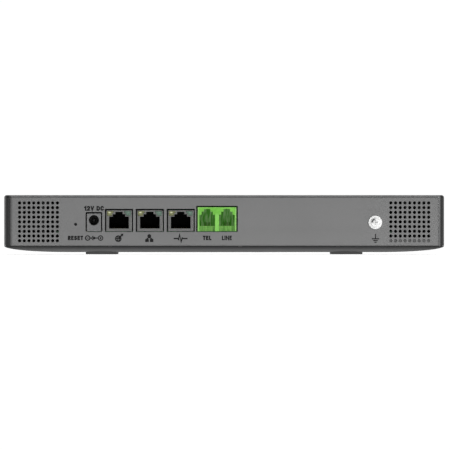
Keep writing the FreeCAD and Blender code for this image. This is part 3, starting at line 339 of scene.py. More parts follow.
def solder_mask(name):
    """Green circuit board: tracks under lacquer and drilled dots."""
    mat = Shader(name)
    green, dark, copper = (0.016, 0.11, 0.045), (0.008, 0.065, 0.028), (0.05, 0.20, 0.075)
    inputs = {
        "Color1": (1, 1, 1, 1),
        "Color2": (0.6, 0.6, 0.6, 1),
        "Mortar": (0, 0, 0, 1),
        "Scale": 0.35,
        "Mortar Size": 0.07,
        "Vector": mat.coords,
    }
    blocks = mat.node("TexBrick", inputs, offset=0.5, squash=1.0).outputs["Fac"]
    tracks = mat.spread(mat.noise(6.0, detail=3.0), 0.48, 0.52)
    base = mat.mix(mat.spread(mat.noise(20.0), 0.3, 0.7), dark, green)
    base = mat.layer(base, blocks, copper, amount=tracks)
    dots = mat.spread(mat.voronoi(3.2), 0.10, 0.07)
    base = mat.mix(dots, base, (0.55, 0.45, 0.22))
    mat.bump(blocks, depth=0.02, strength=0.5)
    mat.bump(dots, depth=0.02, strength=0.5)
    sheen = mat.spread(mat.noise(1.5), 0.3, 0.7, to=(0.22, 0.36))
    return mat.finish(color=base, rough=sheen, spec=0.5)


def striped(name, light, dark, pitch):
    """Flat cable whose wires lie side by side along x, pitch millimetres apart."""
    mat = Shader(name)
    # 3.18 turns the pitch into the wave texture's scale.
    inputs = {"Scale": 1.0 / (pitch * 3.18), "Vector": mat.coords}
    wave = mat.node("TexWave", inputs, wave_type="BANDS", bands_direction="X").outputs["Fac"]
    haze = mat.noise(6.0, detail=3.0)
    base = mat.mix(mat.spread(wave, 0.35, 0.65), light, dark)
    base = mat.layer(base, mat.spread(haze, 0.4, 0.7), shade(dark, 0.7), amount=0.2)
    mat.bump(wave, depth=0.03, strength=0.6)
    return mat.finish(color=base, rough=mat.spread(haze, 0.3, 0.7, to=(0.35, 0.5)))


def epoxy(name, color=(0.018, 0.018, 0.020), spec=0.4):
    """Fine-grained dark resin with swirls in its sheen."""
    mat = Shader(name)
    grain = mat.noise(0.12, detail=3.0, rough=0.7)
    base = mat.mottle(color, grain, 0.35, 0.65, shades=(0.8, 1.6))
    swirl = mat.noise(7.0, detail=3.0, distortion=1.2)
    mat.bump(grain, depth=0.008, strength=0.6)
    return mat.finish(color=base, rough=mat.spread(swirl, 0.3, 0.7, to=(0.42, 0.60)), spec=spec)


def white_zinc(name, color):
    """Pale plated steel with turning marks, and a painted dark crescent of shade on the ground screw.
    """
    mat = Shader(name)
    cloud = mat.noise(2.2, detail=4.0, rough=0.6)
    lines = mat.noise(0.16, rough=0.6, at=mat.stretch((1.0, 1.0, 0.2)))
    base = mat.layer(color, mat.spread(cloud, 0.42, 0.72), shade(color, 0.72), amount=0.14)
    base = mat.layer(base, mat.spread(lines, 0.35, 0.65), shade(color, 0.80), amount=0.12)
    x, _, z = mat.xyz()
    across = mat.minus(x, middle("ground_screw", 0))
    above = mat.minus(z, middle("ground_screw", 2))
    far = mat.distance(across, above)
    base = mat.layer(base, mat.spread(far, 3.0, 2.6), shade(color, 0.55), amount=0.06)
    # A painted shade crescent, dark grey, on the upper left of the head: lean is 1 in that direction.
    toward = mat.minus(mat.times(above, 0.66), mat.times(across, 0.75))
    lean = mat.math("DIVIDE", toward, mat.math("MAXIMUM", far, 0.2))
    band = mat.times(mat.spread(far, 1.15, 1.65), mat.spread(far, 2.65, 2.25))
    crescent_shade = mat.times(mat.spread(lean, 0.55, 0.85), band)
    crescent_shade = mat.times(crescent_shade, mat.spread(cloud, 0.30, 0.42, to=(0.7, 1.0)))
    base = mat.layer(base, crescent_shade, (0.035, 0.036, 0.038), amount=0.93)
    mat.bump(lines, depth=0.003, strength=0.4)
    satin = mat.spread(cloud, 0.3, 0.7, to=(0.34, 0.46))
    return mat.finish(
        color=base,
        rough=mat.plus(satin, mat.times(crescent_shade, 0.2)),
        metal=0.06,
        spec=mat.times(mat.minus(1.0, crescent_shade), 0.7),
    )


def dc_plastic(name, color):
    """Grey power jack: its face is fine-grained, and its barrel hole gets painted shade, black deeper
    inside.
    """
    mat = Shader(name)
    hole_z = 21.0
    x, y, z = mat.xyz()
    depth = mat.spread(mat.minus(y, low_mm("dc_jack_housing", 1)), 0.25, 1.1)
    across = mat.minus(x, middle("dc_jack_housing"))
    hole = mat.spread(mat.distance(across, mat.minus(z, hole_z)), 4.2, 3.7)
    grain = mat.noise(0.22, detail=3.0, rough=0.6)
    base = mat.mottle(color, grain, 0.35, 0.65, shades=(0.88, 1.12))
    # Painted shade, near black, deeper down the barrel hole.
    base = mat.layer(base, depth, (0.006, 0.006, 0.006), amount=hole)
    base = mat.layer(base, mat.edges(radius=0.25), shade(color, 1.6), amount=0.25)
    mat.bump(grain, depth=0.006, strength=0.5)
    sheen = mat.spread(mat.noise(4.0, detail=3.0), 0.3, 0.7, to=(0.42, 0.52))
    return mat.finish(color=base, rough=sheen, spec=0.4)


# ------------------------------------------------------------------ lamps and clear pieces


def lamp(name, color, core, glow):
    """A small diffused lamp: cloudy resin with brighter spots."""
    mat = Shader(name)
    cloud = mat.noise(1.1, detail=3.0, rough=0.6)
    base = mat.mottle(color, cloud, 0.35, 0.65, shades=(0.8, 1.15))
    spot = mat.spread(mat.noise(1.6), 0.48, 0.62)
    mat.bump(mat.noise(0.3), depth=0.01, strength=0.5)
    return mat.finish(
        color=base,
        rough=mat.spread(cloud, 0.3, 0.7, to=(0.22, 0.38)),
        emit=mat.mix(spot, color, core),
        emit_power=glow,
        spec=0.5,
    )


def port_lamp(name, color, core, glow):
    """A jack lamp's lens: cloudy resin with a soft bright spot in each window."""
    mat = Shader(name)
    spot_x, spot_z = 5.75, 25.75  # distance from the jack's middle, and height
    flatten = 3.0
    x, _, z = mat.xyz()
    pitch = (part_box("heartbeat_jack_shield")[0].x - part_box("lan_jack_shield")[0].x) * 1000
    # Which jack x is at, counted in pitches. The half puts a jack's middle at fraction 0.5.
    turns = mat.math("DIVIDE", mat.minus(x, middle("lan_jack_shield")), pitch)
    turn = mat.math("FRACT", mat.plus(turns, 10.5))
    from_jack = mat.math("ABSOLUTE", mat.times(mat.minus(turn, 0.5), pitch))
    far = mat.distance(mat.minus(from_jack, spot_x), mat.minus(z, spot_z), squash=flatten)
    cloud = mat.noise(1.1, detail=3.0, rough=0.6)
    base = mat.mottle(color, cloud, 0.35, 0.65, shades=(0.85, 1.12))
    spot = mat.spread(far, 1.15, 0.15)
    base = mat.mix(spot, base, core)
    mat.bump(mat.noise(0.3), depth=0.01, strength=0.5)
    return mat.finish(
        color=base,
        rough=mat.spread(cloud, 0.3, 0.7, to=(0.25, 0.40)),
        emit=mat.mix(spot, (0, 0, 0), core),
        emit_power=glow,
        spec=0.4,
    )


def clear(name, tint, rough=0.03):
    """Clear plastic with faint smears."""
    mat = Shader(name)
    smear = mat.spread(mat.noise(12.0, detail=4.0, rough=0.6), 0.45, 0.75)
    mat.bump(mat.noise(5.0), depth=0.006, strength=0.2)
    return mat.finish(
        color=mat.layer(tint, smear, shade(tint, 0.9), amount=0.3),
        rough=mat.plus(mat.times(smear, 0.06), rough),
        glass=1.0,
        ior=1.49,
    )


def green_resin(name):
    """Translucent green jack: painted light on the rims and middle wall, painted shade, deep green,
    inside two openings.
    """
    mat = Shader(name)
    x, y, z = mat.xyz()
    across = mat.math("ABSOLUTE", mat.minus(x, middle("phone_jack_housing")))
    deep = mat.minus(y, low_mm("phone_jack_housing", 1))
    flow = mat.noise(3.0, detail=3.0, rough=0.55, at=mat.stretch((1.0, 0.3, 1.0)))
    streak = mat.noise(0.9, rough=0.6, at=mat.stretch((1.0, 0.15, 0.12)))
    # The face, with painted light on the middle wall, the outer walls and the crest.
    rim = mat.mix(mat.spread(flow, 0.35, 0.65), (0.140, 0.470, 0.046), (0.200, 0.585, 0.072))
    wall = mat.times(mat.spread(across, 1.7, 0.5), mat.spread(z, 25.6, 23.8))
    rim = mat.layer(rim, wall, (0.27, 0.66, 0.135), amount=0.62)
    rim = mat.layer(rim, mat.spread(across, 10.9, 11.7), (0.33, 0.60, 0.21), amount=0.8)
    rim = mat.layer(rim, mat.spread(z, 28.3, 28.9), (0.33, 0.66, 0.19), amount=0.5)
    # Painted shade in two deeper zones, then a painted highlight on the edges of the face.
    lip = mat.mix(mat.spread(streak, 0.38, 0.62), (0.075, 0.250, 0.030), (0.170, 0.400, 0.075))
    inner = mat.mix(mat.spread(streak, 0.42, 0.60), (0.030, 0.134, 0.016), (0.126, 0.240, 0.104))
    base = mat.mix(mat.spread(deep, 0.75, 1.25), rim, lip)
    base = mat.mix(mat.spread(deep, 1.4, 3.0), base, inner)
    edge = mat.times(mat.edges(radius=0.35), 0.35)
    base = mat.layer(base, edge, (0.42, 0.85, 0.24), amount=mat.spread(deep, 1.2, 0.6))
    mat.bump(mat.noise(0.25), depth=0.004, strength=0.4)
    # Light that comes through the walls deep inside.
    glow = mat.mix(mat.spread(streak, 0.42, 0.60), (0.022, 0.104, 0.006), (0.088, 0.172, 0.058))
    return mat.finish(
        color=base,
        rough=mat.spread(flow, 0.3, 0.7, to=(0.26, 0.40)),
        spec=mat.spread(deep, 1.0, 3.0, to=(0.45, 0.12)),
        emit=mat.mix(mat.spread(deep, 1.2, 3.2), (0, 0, 0), glow),
        emit_power=0.75,
    )


def lcd(name):
    """A resting liquid-crystal panel: dark window with a fine cell grid inside a black border."""
    mat = Shader(name)
    half_width, half_height, border_blur = 23.4, 8.6, 0.2
    cell_pitch = 0.38
    low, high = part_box("display_glass")
    centre = (low + high) / 2 * 1000
    x, _, z = mat.xyz()

    def within(value, at, half):
        away = mat.math("ABSOLUTE", mat.minus(value, at))
        return mat.spread(away, half, half - border_blur)

    def grid_lines(value):
        cell_part = mat.math("FRACT", mat.math("DIVIDE", value, cell_pitch))
        return mat.spread(mat.math("ABSOLUTE", mat.minus(cell_part, 0.5)), 0.40, 0.46)

    inside = mat.times(within(x, centre.x, half_width), within(z, centre.z, half_height))
    grid = mat.math("MAXIMUM", grid_lines(x), grid_lines(z))
    cell = mat.layer((0.035, 0.055, 0.085), grid, (0.016, 0.026, 0.042), amount=0.5)
    haze = mat.noise(18.0, detail=3.0)
    cell = mat.layer(cell, mat.spread(haze, 0.4, 0.7), (0.06, 0.085, 0.12), amount=0.3)
    base = mat.mix(inside, (0.004, 0.004, 0.005), cell)
    mat.bump(mat.noise(9.0), depth=0.004, strength=0.2)
    return mat.finish(color=base, rough=mat.spread(haze, 0.3, 0.7, to=(0.10, 0.18)), spec=0.5)


# ------------------------------------------------------------------ the finishes

# The side colour is a painted shade for the case's left and right faces.
CASE = dict(color=(0.066, 0.0665, 0.067), side=(0.0085, 0.0086, 0.0088))
AMBER = dict(color=(0.180, 0.188, 0.086), core=(0.58, 0.59, 0.40), glow=0.20)
GREEN = dict(color=(0.106, 0.168, 0.130), core=(0.15, 0.225, 0.180), glow=0.05)
# Directions of grain for plated metal
BRUSH_X, BRUSH_Z, BRUSH_Z_SHORT = (0.12, 1.0, 1.0), (1.0, 1.0, 0.1), (1.0, 1.0, 0.25)
BRUSH_Y, BRUSH_Y_LONG = (1.0, 0.08, 1.0), (1.0, 0.06, 1.0)

# name: (kind, its options)
FINISHES = {
    "case_plastic": (moulded, dict(**CASE, rough=0.27, grain=0.30, depth=0.006, wear=0.16)),
    # low: below this height the base plastic gets painted light from the floor.
    "base_plastic": (moulded, dict(
        color=(0.032, 0.0322, 0.0328), rough=0.36, grain=0.30, depth=0.006, wear=0.15,
        spec=0.20, low=3.5)),
    "panel_paint": (powder_coat, dict(color=(0.2005, 0.201, 0.201))),
    "fascia_gloss": (gloss, dict(color=(0.0055, 0.0055, 0.006), rough=0.10, spec=0.42)),
    "display_cover": (clear, dict(tint=(0.42, 0.45, 0.47))),
    "circuit_board": (solder_mask, {}),
    "ribbon": (striped, dict(light=(0.75, 0.75, 0.74), dark=(0.42, 0.43, 0.45), pitch=1.0)),
    "rubber": (rubber, dict(color=(0.24, 0.24, 0.241))),
    "key_rubber": (moulded, dict(
        color=(0.36, 0.365, 0.375), rough=0.45, grain=0.18, depth=0.006, wear=0.4, spec=0.45)),
    "switch_plastic": (epoxy, dict(color=(0.020, 0.020, 0.022))),
    "plunger_plastic": (moulded, dict(
        color=(0.020, 0.020, 0.021), rough=0.45, grain=0.2, depth=0.005)),
    "light_guide": (clear, dict(tint=(0.90, 0.93, 0.95), rough=0.16)),
    "status_led": (lamp, dict(color=(0.75, 0.74, 0.55), core=(1.0, 0.95, 0.6), glow=0.15)),
    "amber_lamp": (port_lamp, AMBER),
    "green_lamp": (port_lamp, GREEN),
    "jack_shield": (plated, dict(color=(0.232, 0.232, 0.228), rough=0.34)),
    "jack_insert": (epoxy, dict(color=(0.0012, 0.0012, 0.0013), spec=0.04)),
    "gold_contact": (plated, dict(
        color=(0.15, 0.105, 0.042), rough=0.30, brush=BRUSH_Y, tarnish=0.3, size=0.2)),
    "dc_jack_plastic": (dc_plastic, dict(color=(0.184, 0.185, 0.186))),
    "bright_nickel": (white_zinc, dict(color=(0.985, 0.985, 0.98))),
    "pin_metal": (plated, dict(
        color=(0.035, 0.035, 0.036), rough=0.30, brush=BRUSH_Z_SHORT, tarnish=0.30, size=0.2)),
    "zinc_steel": (plated, dict(color=(0.60, 0.61, 0.62), rough=0.32)),
    "chip_epoxy": (epoxy, {}),
    "relay_plastic": (moulded, dict(
        color=(0.03, 0.03, 0.033), rough=0.35, grain=0.25, depth=0.006)),
    "ferrite": (epoxy, dict(color=(0.045, 0.043, 0.042))),
    "thermal_pad": (rubber, dict(color=(0.16, 0.24, 0.33))),
    "anodised": (plated, dict(
        color=(0.045, 0.045, 0.050), rough=0.42, brush=BRUSH_Y_LONG, tarnish=0.15, size=0.3)),
    "capacitor_can": (plated, dict(
        color=(0.62, 0.63, 0.65), rough=0.28, brush=BRUSH_Z, tarnish=0.15, size=0.2)),
    "holder_plastic": (moulded, dict(
        color=(0.022, 0.022, 0.024), rough=0.40, grain=0.25, depth=0.006)),
    "coin_steel": (plated, dict(
        color=(0.62, 0.62, 0.61), rough=0.24, brush=BRUSH_X, tarnish=0.12, size=0.3)),
    "backlight": (moulded, dict(
        color=(0.62, 0.63, 0.62), rough=0.55, grain=0.3, depth=0.005, wear=0.1)),
    "phone_jack_green": (green_resin, {}),
    "display_glass": (lcd, {}),
}
finishes = {name: make(name, **options) for name, (make, options) in FINISHES.items()}

slots = {part["node"]: part["material_slot"] for part in frame["record"]["subparts"]}
slots.update(dc_jack_pin="pin_metal", dc_jack_spring="pin_metal")
for name, obj in nodes.items():
    obj.data.materials.clear()
    obj.data.materials.append(finishes[slots[name]])


# ------------------------------------------------------------------ thin printed and stuck pieces


def piece(name, build, material, body):
    """Turns a bmesh into an object that rides on a body."""
    bmesh.ops.recalc_face_normals(build, faces=build.faces)
    mesh = bpy.data.meshes.new(name)
    build.to_mesh(mesh)
    build.free()
    mesh.materials.append(material)
    obj = bpy.data.objects.new(name, mesh)
    scene.collection.objects.link(obj)
    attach(obj, body)


class Plane:
    """Where flat prints go: an origin in millimetres, two directions and the outward normal."""

    def __init__(self, origin, right, up, out):
        self.origin, self.right = Vector(origin), Vector(right)
        self.up, self.out = Vector(up), Vector(out)

    def at(self, x, y, height):
        return (self.origin + self.right * x + self.up * y + self.out * height) * MM


def rear(x, z):
    """A plane on the rear panel with its origin at x, z."""
    return Plane((x, low_mm("rear_panel", 1), z), (1, 0, 0), (0, 0, 1), (0, -1, 0))


def front(x, y, z=0.0):
    """A plane that faces the front, read from there."""
    return Plane((x, y, z), (-1, 0, 0), (0, 0, 1), (0, 1, 0))


def arc(x, y, radius, start, step, count, radius_y=None):
    """Points round a centre. start and step are in degrees."""
    angles = [math.radians(start + step * i) for i in range(count)]
    tall = radius_y or radius
    return [(x + radius * math.cos(a), y + tall * math.sin(a)) for a in angles]


def circle(x, y, radius, radius_y=None, count=40):
    return arc(x, y, radius, 0, 360 / count, count, radius_y)


def rect(x0, y0, x1, y1):
    return [(x0, y0), (x1, y0), (x1, y1), (x0, y1)]


class Print:
    """Closed flat prisms on a plane, gathered into one object.

    They reach from foot to top above the plane. A small lift of the top keeps the faces of
    overlapping shapes apart."""

    def __init__(self, plane, foot=-0.02, top=0.03):
        self.plane, self.foot, self.top = plane, foot, top
        self.build = bmesh.new()

    def loop(self, outline, height):
        return [self.build.verts.new(self.plane.at(x, y, height)) for x, y in outline]

    def slab(self, outline, lift=0.0, hole=None):
        """A prism. hole is an optional outline with as many points."""
        face = self.build.faces.new
        top = self.top + lift
        low, high = self.loop(outline, self.foot), self.loop(outline, top)
        turns = [(i, (i + 1) % len(outline)) for i in range(len(outline))]
        for i, j in turns:
            face((low[i], low[j], high[j], high[i]))
        if hole is None:
            face(low[::-1])
            face(high)
            return
        hole_low, hole_high = self.loop(hole, self.foot), self.loop(hole, top)
        for i, j in turns:
            face((hole_low[j], hole_low[i], hole_high[i], hole_high[j]))
            face((high[i], high[j], hole_high[j], hole_high[i]))
            face((low[j], low[i], hole_low[i], hole_low[j]))

    def stroke(self, points, width, lift=0.0):
        """A mitred line of constant width through the points."""
        points = [Vector(p) for p in points]
        steps = [(b - a).normalized() for a, b in zip(points, points[1:])]
        left, right = [], []
        for point, back, ahead in zip(points, steps[:1] + steps, steps + steps[-1:]):
            back_side, ahead_side = Vector((-back.y, back.x)), Vector((-ahead.y, ahead.x))
            mitre = (back_side + ahead_side).normalized()
            reach = width / 2 / max(0.35, mitre.dot(back_side))
            left.append(point + mitre * reach)
            right.append(point - mitre * reach)
        self.slab(right + left[::-1], lift)

    def bar(self, x, y, half, width, lift=0.0):
        """A level line that reaches half to each side of x."""
        self.stroke([(x - half, y), (x + half, y)], width, lift)

    def ring(self, x, y, radius, width):
        self.slab(circle(x, y, radius), hole=circle(x, y, radius - width))

    def done(self, name, material, body="chassis"):
        piece(name, self.build, material, body)


# Each letter: the width of its middle line, then its lines in a unit square
LETTERS = {
    "R": (1.0, [
        [(0, 0), (0, 1)],
        [(0, 1), (0.62, 1), (1, 0.88), (1, 0.62), (0.62, 0.48), (0, 0.48)],
        [(0.48, 0.48), (1, 0)]]),
    "E": (0.92, [[(1, 1), (0, 1), (0, 0), (1, 0)], [(0, 0.52), (0.85, 0.52)]]),
    "S": (1.0, [[
        (1, 0.86), (0.72, 1), (0.28, 1), (0, 0.86), (0, 0.66), (0.25, 0.54),
        (0.75, 0.46), (1, 0.34), (1, 0.14), (0.72, 0), (0.28, 0), (0, 0.14)]]),
    "T": (1.0, [[(0, 1), (1, 1)], [(0.5, 1), (0.5, 0)]]),
    "D": (1.05, [[(0, 0), (0, 1), (0.58, 1), (1, 0.76), (1, 0.24), (0.58, 0), (0, 0)]]),
    "C": (1.0, [[
        (1, 0.84), (0.74, 1), (0.28, 1), (0, 0.80), (0, 0.20), (0.28, 0), (0.74, 0), (1, 0.16)]]),
    "1": (0.45, [[(0, 0.80), (1, 1), (1, 0)]]),
    "2": (0.95, [[(0, 0.84), (0.26, 1), (0.74, 1), (1, 0.84), (1, 0.62), (0, 0), (1, 0)]]),
    "V": (1.05, [[(0, 1), (0.5, 0), (1, 1)]]),
    "L": (0.85, [[(0, 1), (0, 0), (1, 0)]]),
    "I": (0.0, [[(0, 1), (0, 0)]]),
    "N": (1.65, [[(0, 0), (0, 1), (1, 0), (1, 1)]]),
    " ": (0.10, []),
}


def label(name, text, x, z, tall, wide, gap, pen):
    """Rear capitals of one pen width, centred on x with their foot at z."""
    marks = Print(rear(x, z))
    total = sum(LETTERS[char][0] * wide + pen for char in text) + gap * (len(text) - 1)
    start = -total / 2
    lift = 0.0
    for char in text:
        width, lines = LETTERS[char]
        for line in lines:
            points = [
                Vector((start + pen / 2 + a * width * wide, pen / 2 + b * (tall - pen)))
                for a, b in line
            ]
            points[0] += (points[0] - points[1]).normalized() * pen / 2
            points[-1] += (points[-1] - points[-2]).normalized() * pen / 2
            marks.stroke(points, pen, lift)
            lift = (lift + 0.0015) % 0.006
        start += width * wide + pen + gap
    marks.done(name, ink)


def printed(name, color):
    """Screen-printed ink: slightly uneven cover and a soft sheen."""
    mat = Shader(name)
    cover = mat.noise(0.25, detail=3.0, rough=0.6)
    base = mat.mottle(color, cover, 0.35, 0.7, shades=(0.85, 1.35))
    mat.bump(cover, depth=0.003, strength=0.4)
    return mat.finish(color=base, rough=mat.spread(cover, 0.3, 0.7, to=(0.50, 0.66)), spec=0.25)


ink = printed("ink_dark", (0.0055, 0.0055, 0.0058))
pale_ink = printed("ink_pale", (0.55, 0.56, 0.57))

# ------------------------------------------------------------------ rear prints

x_phone = middle("phone_jack_housing")
x_power = middle("dc_jack_housing")

# name, text, x, z of the foot, height, width of a plain letter, gap, pen width
LABELS = [
    ("print_reset", "RESET", middle("reset_plunger") - 0.05, 8.75, 2.7, 0.95, 0.27, 0.745),
    ("print_power", "12V DC", x_power + 0.05, 26.8, 2.9, 1.24, 0.28, 0.83),
    ("print_tel", "TEL", x_phone - 6.05, 8.75, 2.75, 0.86, 0.23, 0.79),
    ("print_line", "LINE", x_phone + 6.05, 8.75, 2.75, 0.84, 0.20, 0.66),
]
for row in LABELS:
    label(*row)


def polarity():
    """Polarity of the power inlet: ring with a minus, centre contact, ring with a plus."""
    minus_x, plus_x, contact_x = -3.85, 4.1, 0.15
    sign_half, sign_width = 0.65, 0.55
    marks = Print(rear(x_power, 10.05))
    for x in (minus_x, plus_x):
        marks.ring(x, 0, radius=1.68, width=0.62)
        marks.bar(x, 0, sign_half, sign_width)
    marks.stroke([(plus_x, -sign_half), (plus_x, sign_half)], sign_width, lift=0.004)
    marks.slab(circle(contact_x, 0, 0.85), lift=0.004)
    marks.stroke([(0.1, 0), (2.6, 0)], width=0.65)
    marks.stroke([(-2.35, 0), (-1.25, 0)], width=0.65)
    cup = arc(contact_x, 0, radius=1.3, start=110, step=14, count=11)
    marks.stroke(cup, width=0.5, lift=0.002)
    marks.done("print_polarity", ink)


def globe():
    """Globe with an arrow that leaves it."""
    marks = Print(rear(middle("wan_jack_shield") - 0.45, 9.65))
    marks.ring(0, 0, radius=2.03, width=0.66)
    marks.bar(0, 0, half=1.8, width=0.62, lift=0.002)
    for y in (0.95, -0.95):
        marks.bar(0, y, half=1.55, width=0.42, lift=0.002)
    meridian = circle(0, 0, 0.98, radius_y=1.8, count=28)
    marks.slab(meridian, lift=0.004, hole=circle(0, 0, 0.50, radius_y=1.5, count=28))
    marks.stroke([(0.3, 0.3), (2.35, 2.35)], width=0.95, lift=0.006)
    marks.slab([(1.35, 2.85), (2.85, 1.35), (3.15, 3.15)], lift=0.008)
    marks.done("print_globe", ink)


def network_tree():
    marks = Print(rear(middle("lan_jack_shield") - 0.35, 9.8))
    marks.slab(circle(0, 1.45, 1.18))
    marks.slab(rect(-2.5, -2.2, -0.32, -0.35))
    marks.slab(rect(0.32, -2.2, 2.5, -0.35))
    marks.stroke([(0, 1.0), (0, 0.1)], width=0.85, lift=0.002)
    fork = [(-1.35, -0.8), (-1.35, -0.05), (0, 0.55), (1.35, -0.05), (1.35, -0.8)]
    marks.stroke(fork, width=0.72, lift=0.004)
    marks.done("print_tree", ink)


def heartbeat():
    marks = Print(rear(middle("heartbeat_jack_shield") - 0.15, 9.75))
    pulse = [
        (-4.2, 0), (-1.75, 0), (-1.1, -0.55), (-0.55, 2.45),
        (0.35, -2.0), (1.05, 0.35), (1.6, 0), (4.3, 0),
    ]
    marks.stroke(pulse, width=0.82)
    marks.done("print_heartbeat", ink)


def earth():
    """Earth symbol below the ground screw."""
    marks = Print(rear(middle("ground_washer") + 0.1, 9.6))
    marks.stroke([(0, 3.0), (0, 0.15)], width=0.62, lift=0.002)
    marks.bar(0, 0, half=2.15, width=0.72)
    marks.bar(0, -1.05, half=1.4, width=0.66)
    marks.bar(0, -2.1, half=0.65, width=0.66)
    marks.done("print_earth", ink)


polarity()
globe()
network_tree()
heartbeat()
earth()

# ------------------------------------------------------------------ front prints

KEY_FOOT, KEY_TOP = -0.02, 0.04  # reach of the key prints below and above their plane


def key_plane(key):
    """The plane 0.2 behind the foremost point of a key."""
    return front(middle(key), high_mm(key, 1) - 0.2)


def ok_print():
    """The word OK in the built-in type, as a thin closed mesh."""
    capital, foot_z, widen = 2.2, 19.75, 0.95
    curve = bpy.data.curves.new("print_ok", "FONT")
    curve.body = "OK"
    curve.align_x = "CENTER"
    curve.size = capital / 0.695  # capitals are 0.695 of the type size
    curve.offset = 0.02
    curve.resolution_u = 4
    temp = bpy.data.objects.new("print_ok_type", curve)
    scene.collection.objects.link(temp)
    bpy.context.view_layer.update()
    mesh = bpy.data.meshes.new_from_object(temp)
    bpy.data.objects.remove(temp)
    build = bmesh.new()
    build.from_mesh(mesh)
    bpy.data.meshes.remove(mesh)
    bmesh.ops.remove_doubles(build, verts=build.verts, dist=1e-4)
    made = bmesh.ops.extrude_face_region(build, geom=build.faces[:])
    lifted = {item for item in made["geom"] if isinstance(item, bmesh.types.BMVert)}
    plane = key_plane("ok_key")
    for vert in build.verts:
        height = KEY_TOP if vert in lifted else KEY_FOOT
        vert.co = plane.at(vert.co.x * widen, foot_z + vert.co.y, height)
    piece("print_ok", build, ink, "ok_key")


ok_print()
arrow = Print(key_plane("down_key"), KEY_FOOT, KEY_TOP)
arrow.slab([(-1.25, 21.5), (0, 19.8), (1.25, 21.5)])
arrow.done("print_down", ink, "down_key")


def small_power(marks):
    """A ring with a gap and a bar."""
    marks.stroke(arc(0, 0, 0.85, start=125, step=24.2, count=13), width=0.24)
    marks.stroke([(0, 0.1), (0, 1.15)], width=0.24, lift=0.004)


def small_globe(marks):
    marks.ring(0, 0, radius=0.95, width=0.2)
    marks.bar(0, 0, half=0.85, width=0.18, lift=0.004)
    marks.stroke([(0, -0.85), (0, 0.85)], width=0.18, lift=0.007)


def small_tree(marks):
    marks.slab(rect(-0.4, 0.3, 0.4, 1.05))
    marks.slab(rect(-1.0, -0.95, -0.25, -0.25))
    marks.slab(rect(0.25, -0.95, 1.0, -0.25))
    fork = [(-0.62, -0.35), (-0.62, 0.05), (0.62, 0.05), (0.62, -0.35)]
    marks.stroke(fork, width=0.2, lift=0.004)
    marks.stroke([(0, 0), (0, 0.4)], width=0.2, lift=0.007)


def small_handset(marks):
    grip = arc(0, -0.55, 1.0, start=25, step=13, count=11, radius_y=0.95)
    marks.stroke(grip, width=0.32)
    marks.slab(rect(-1.25, -0.85, -0.55, -0.15), lift=0.004)
    marks.slab(rect(0.55, -0.85, 1.25, -0.15), lift=0.004)


LED_INSET, LED_PITCH = 1.4, 7.0  # first lamp from the +x end of the row, and the spacing
STATUS_Z = 15.9
fascia_y = high_mm("fascia_plate", 1)
status = Print(None)
symbols = (small_power, small_globe, small_tree, small_handset, small_handset)
for i, symbol in enumerate(symbols):
    led_x = high_mm("status_leds", 0) - LED_INSET - LED_PITCH * i
    status.plane = front(led_x, fascia_y, STATUS_Z)
    symbol(status)
status.done("print_status", pale_ink)

# ------------------------------------------------------------------ rating sticker under the base

under = Plane((0, 0, low_mm("base_shell", 2)), (1, 0, 0), (0, 1, 0), (0, 0, -1))


def sticker_face():
    """Pale label stock with fibres along x."""
    mat = Shader("sticker")
    fibre = mat.noise(0.4, detail=4.0, rough=0.7, at=mat.stretch((0.4, 1.0, 1.0)))
    base = mat.mix(mat.spread(fibre, 0.35, 0.65), (0.60, 0.60, 0.59), (0.70, 0.70, 0.69))
    mat.bump(fibre, depth=0.008, strength=0.5)
    return mat.finish(color=base, rough=mat.spread(fibre, 0.35, 0.65, to=(0.42, 0.60))
                      if False else mat.spread(fibre, 0.3, 0.7, to=(0.42, 0.60)))


# x and y of each corner's centre, and the angle where its arc starts
CORNERS = ((31.0, 14.0, 0), (-31.0, 14.0, 90), (-31.0, -20.0, 180), (31.0, -20.0, 270))
sticker = Print(under, top=0.08)
outline = []
for x, y, start in CORNERS:
    outline += arc(x, y, 1.5, start, step=22.5, count=5)
sticker.slab(outline)
sticker.done("rating_sticker", sticker_face())

PRINT_LEFT = -27.0
BAR_WIDTHS = (
    0.5, 0.25, 0.8, 0.25, 0.5, 0.5, 0.25, 0.8, 0.25, 0.25, 0.5,
    0.8, 0.25, 0.5, 0.25, 0.8, 0.5, 0.25, 0.25, 0.8, 0.5, 0.25,
)
LINE_LENGTHS = (44.0, 38.0, 50.0, 30.0)
LINE_PITCH = 3.1
rating = Print(under, foot=0.05, top=0.11)
x = PRINT_LEFT
for i, width in enumerate(BAR_WIDTHS):
    rating.slab(rect(x, -16.5, x + width, -9.5))
    x += width + (0.35 if i % 3 else 0.7)
for i, length in enumerate(LINE_LENGTHS):
    drop = i * LINE_PITCH
    rating.slab(rect(PRINT_LEFT, 9.5 - drop, PRINT_LEFT + length, 10.3 - drop))
# A struck-through ring beside the bars
rating.ring(20.5, -13.0, radius=3.4, width=0.5)
rating.stroke([(18.6, -14.9), (22.4, -11.1)], width=0.5, lift=0.004)
rating.done("rating_print", ink)

# ------------------------------------------------------------------ studio


def floor():
    """A pale table that glows a little, more so far off, so that it stays white there."""
    mat = Shader("floor_paper")
    fibres = mat.noise(2.0, detail=4.0, rough=0.6)
    reach = mat.node("VectorMath", {0: mat.coords}, operation="LENGTH").outputs["Value"]
    mat.bump(fibres, depth=0.02, strength=0.2)
    paper = mat.finish(
        color=mat.mix(mat.spread(fibres, 0.3, 0.7), (0.86, 0.86, 0.86), (0.90, 0.90, 0.90)),
        rough=0.85,
        spec=0.0,
        emit=(1.0, 1.0, 1.0),
        emit_power=mat.spread(reach, 400.0, 2600.0, to=(0.42, 0.80)),
    )
    mesh = bpy.data.meshes.new("floor")
    mesh.from_pydata([(-6, -14, 0), (6, -14, 0), (6, 6, 0), (-6, 6, 0)], [], [(0, 1, 2, 3)])
    mesh.materials.append(paper)
    obj = bpy.data.objects.new("floor", mesh)
    scene.collection.objects.link(obj)


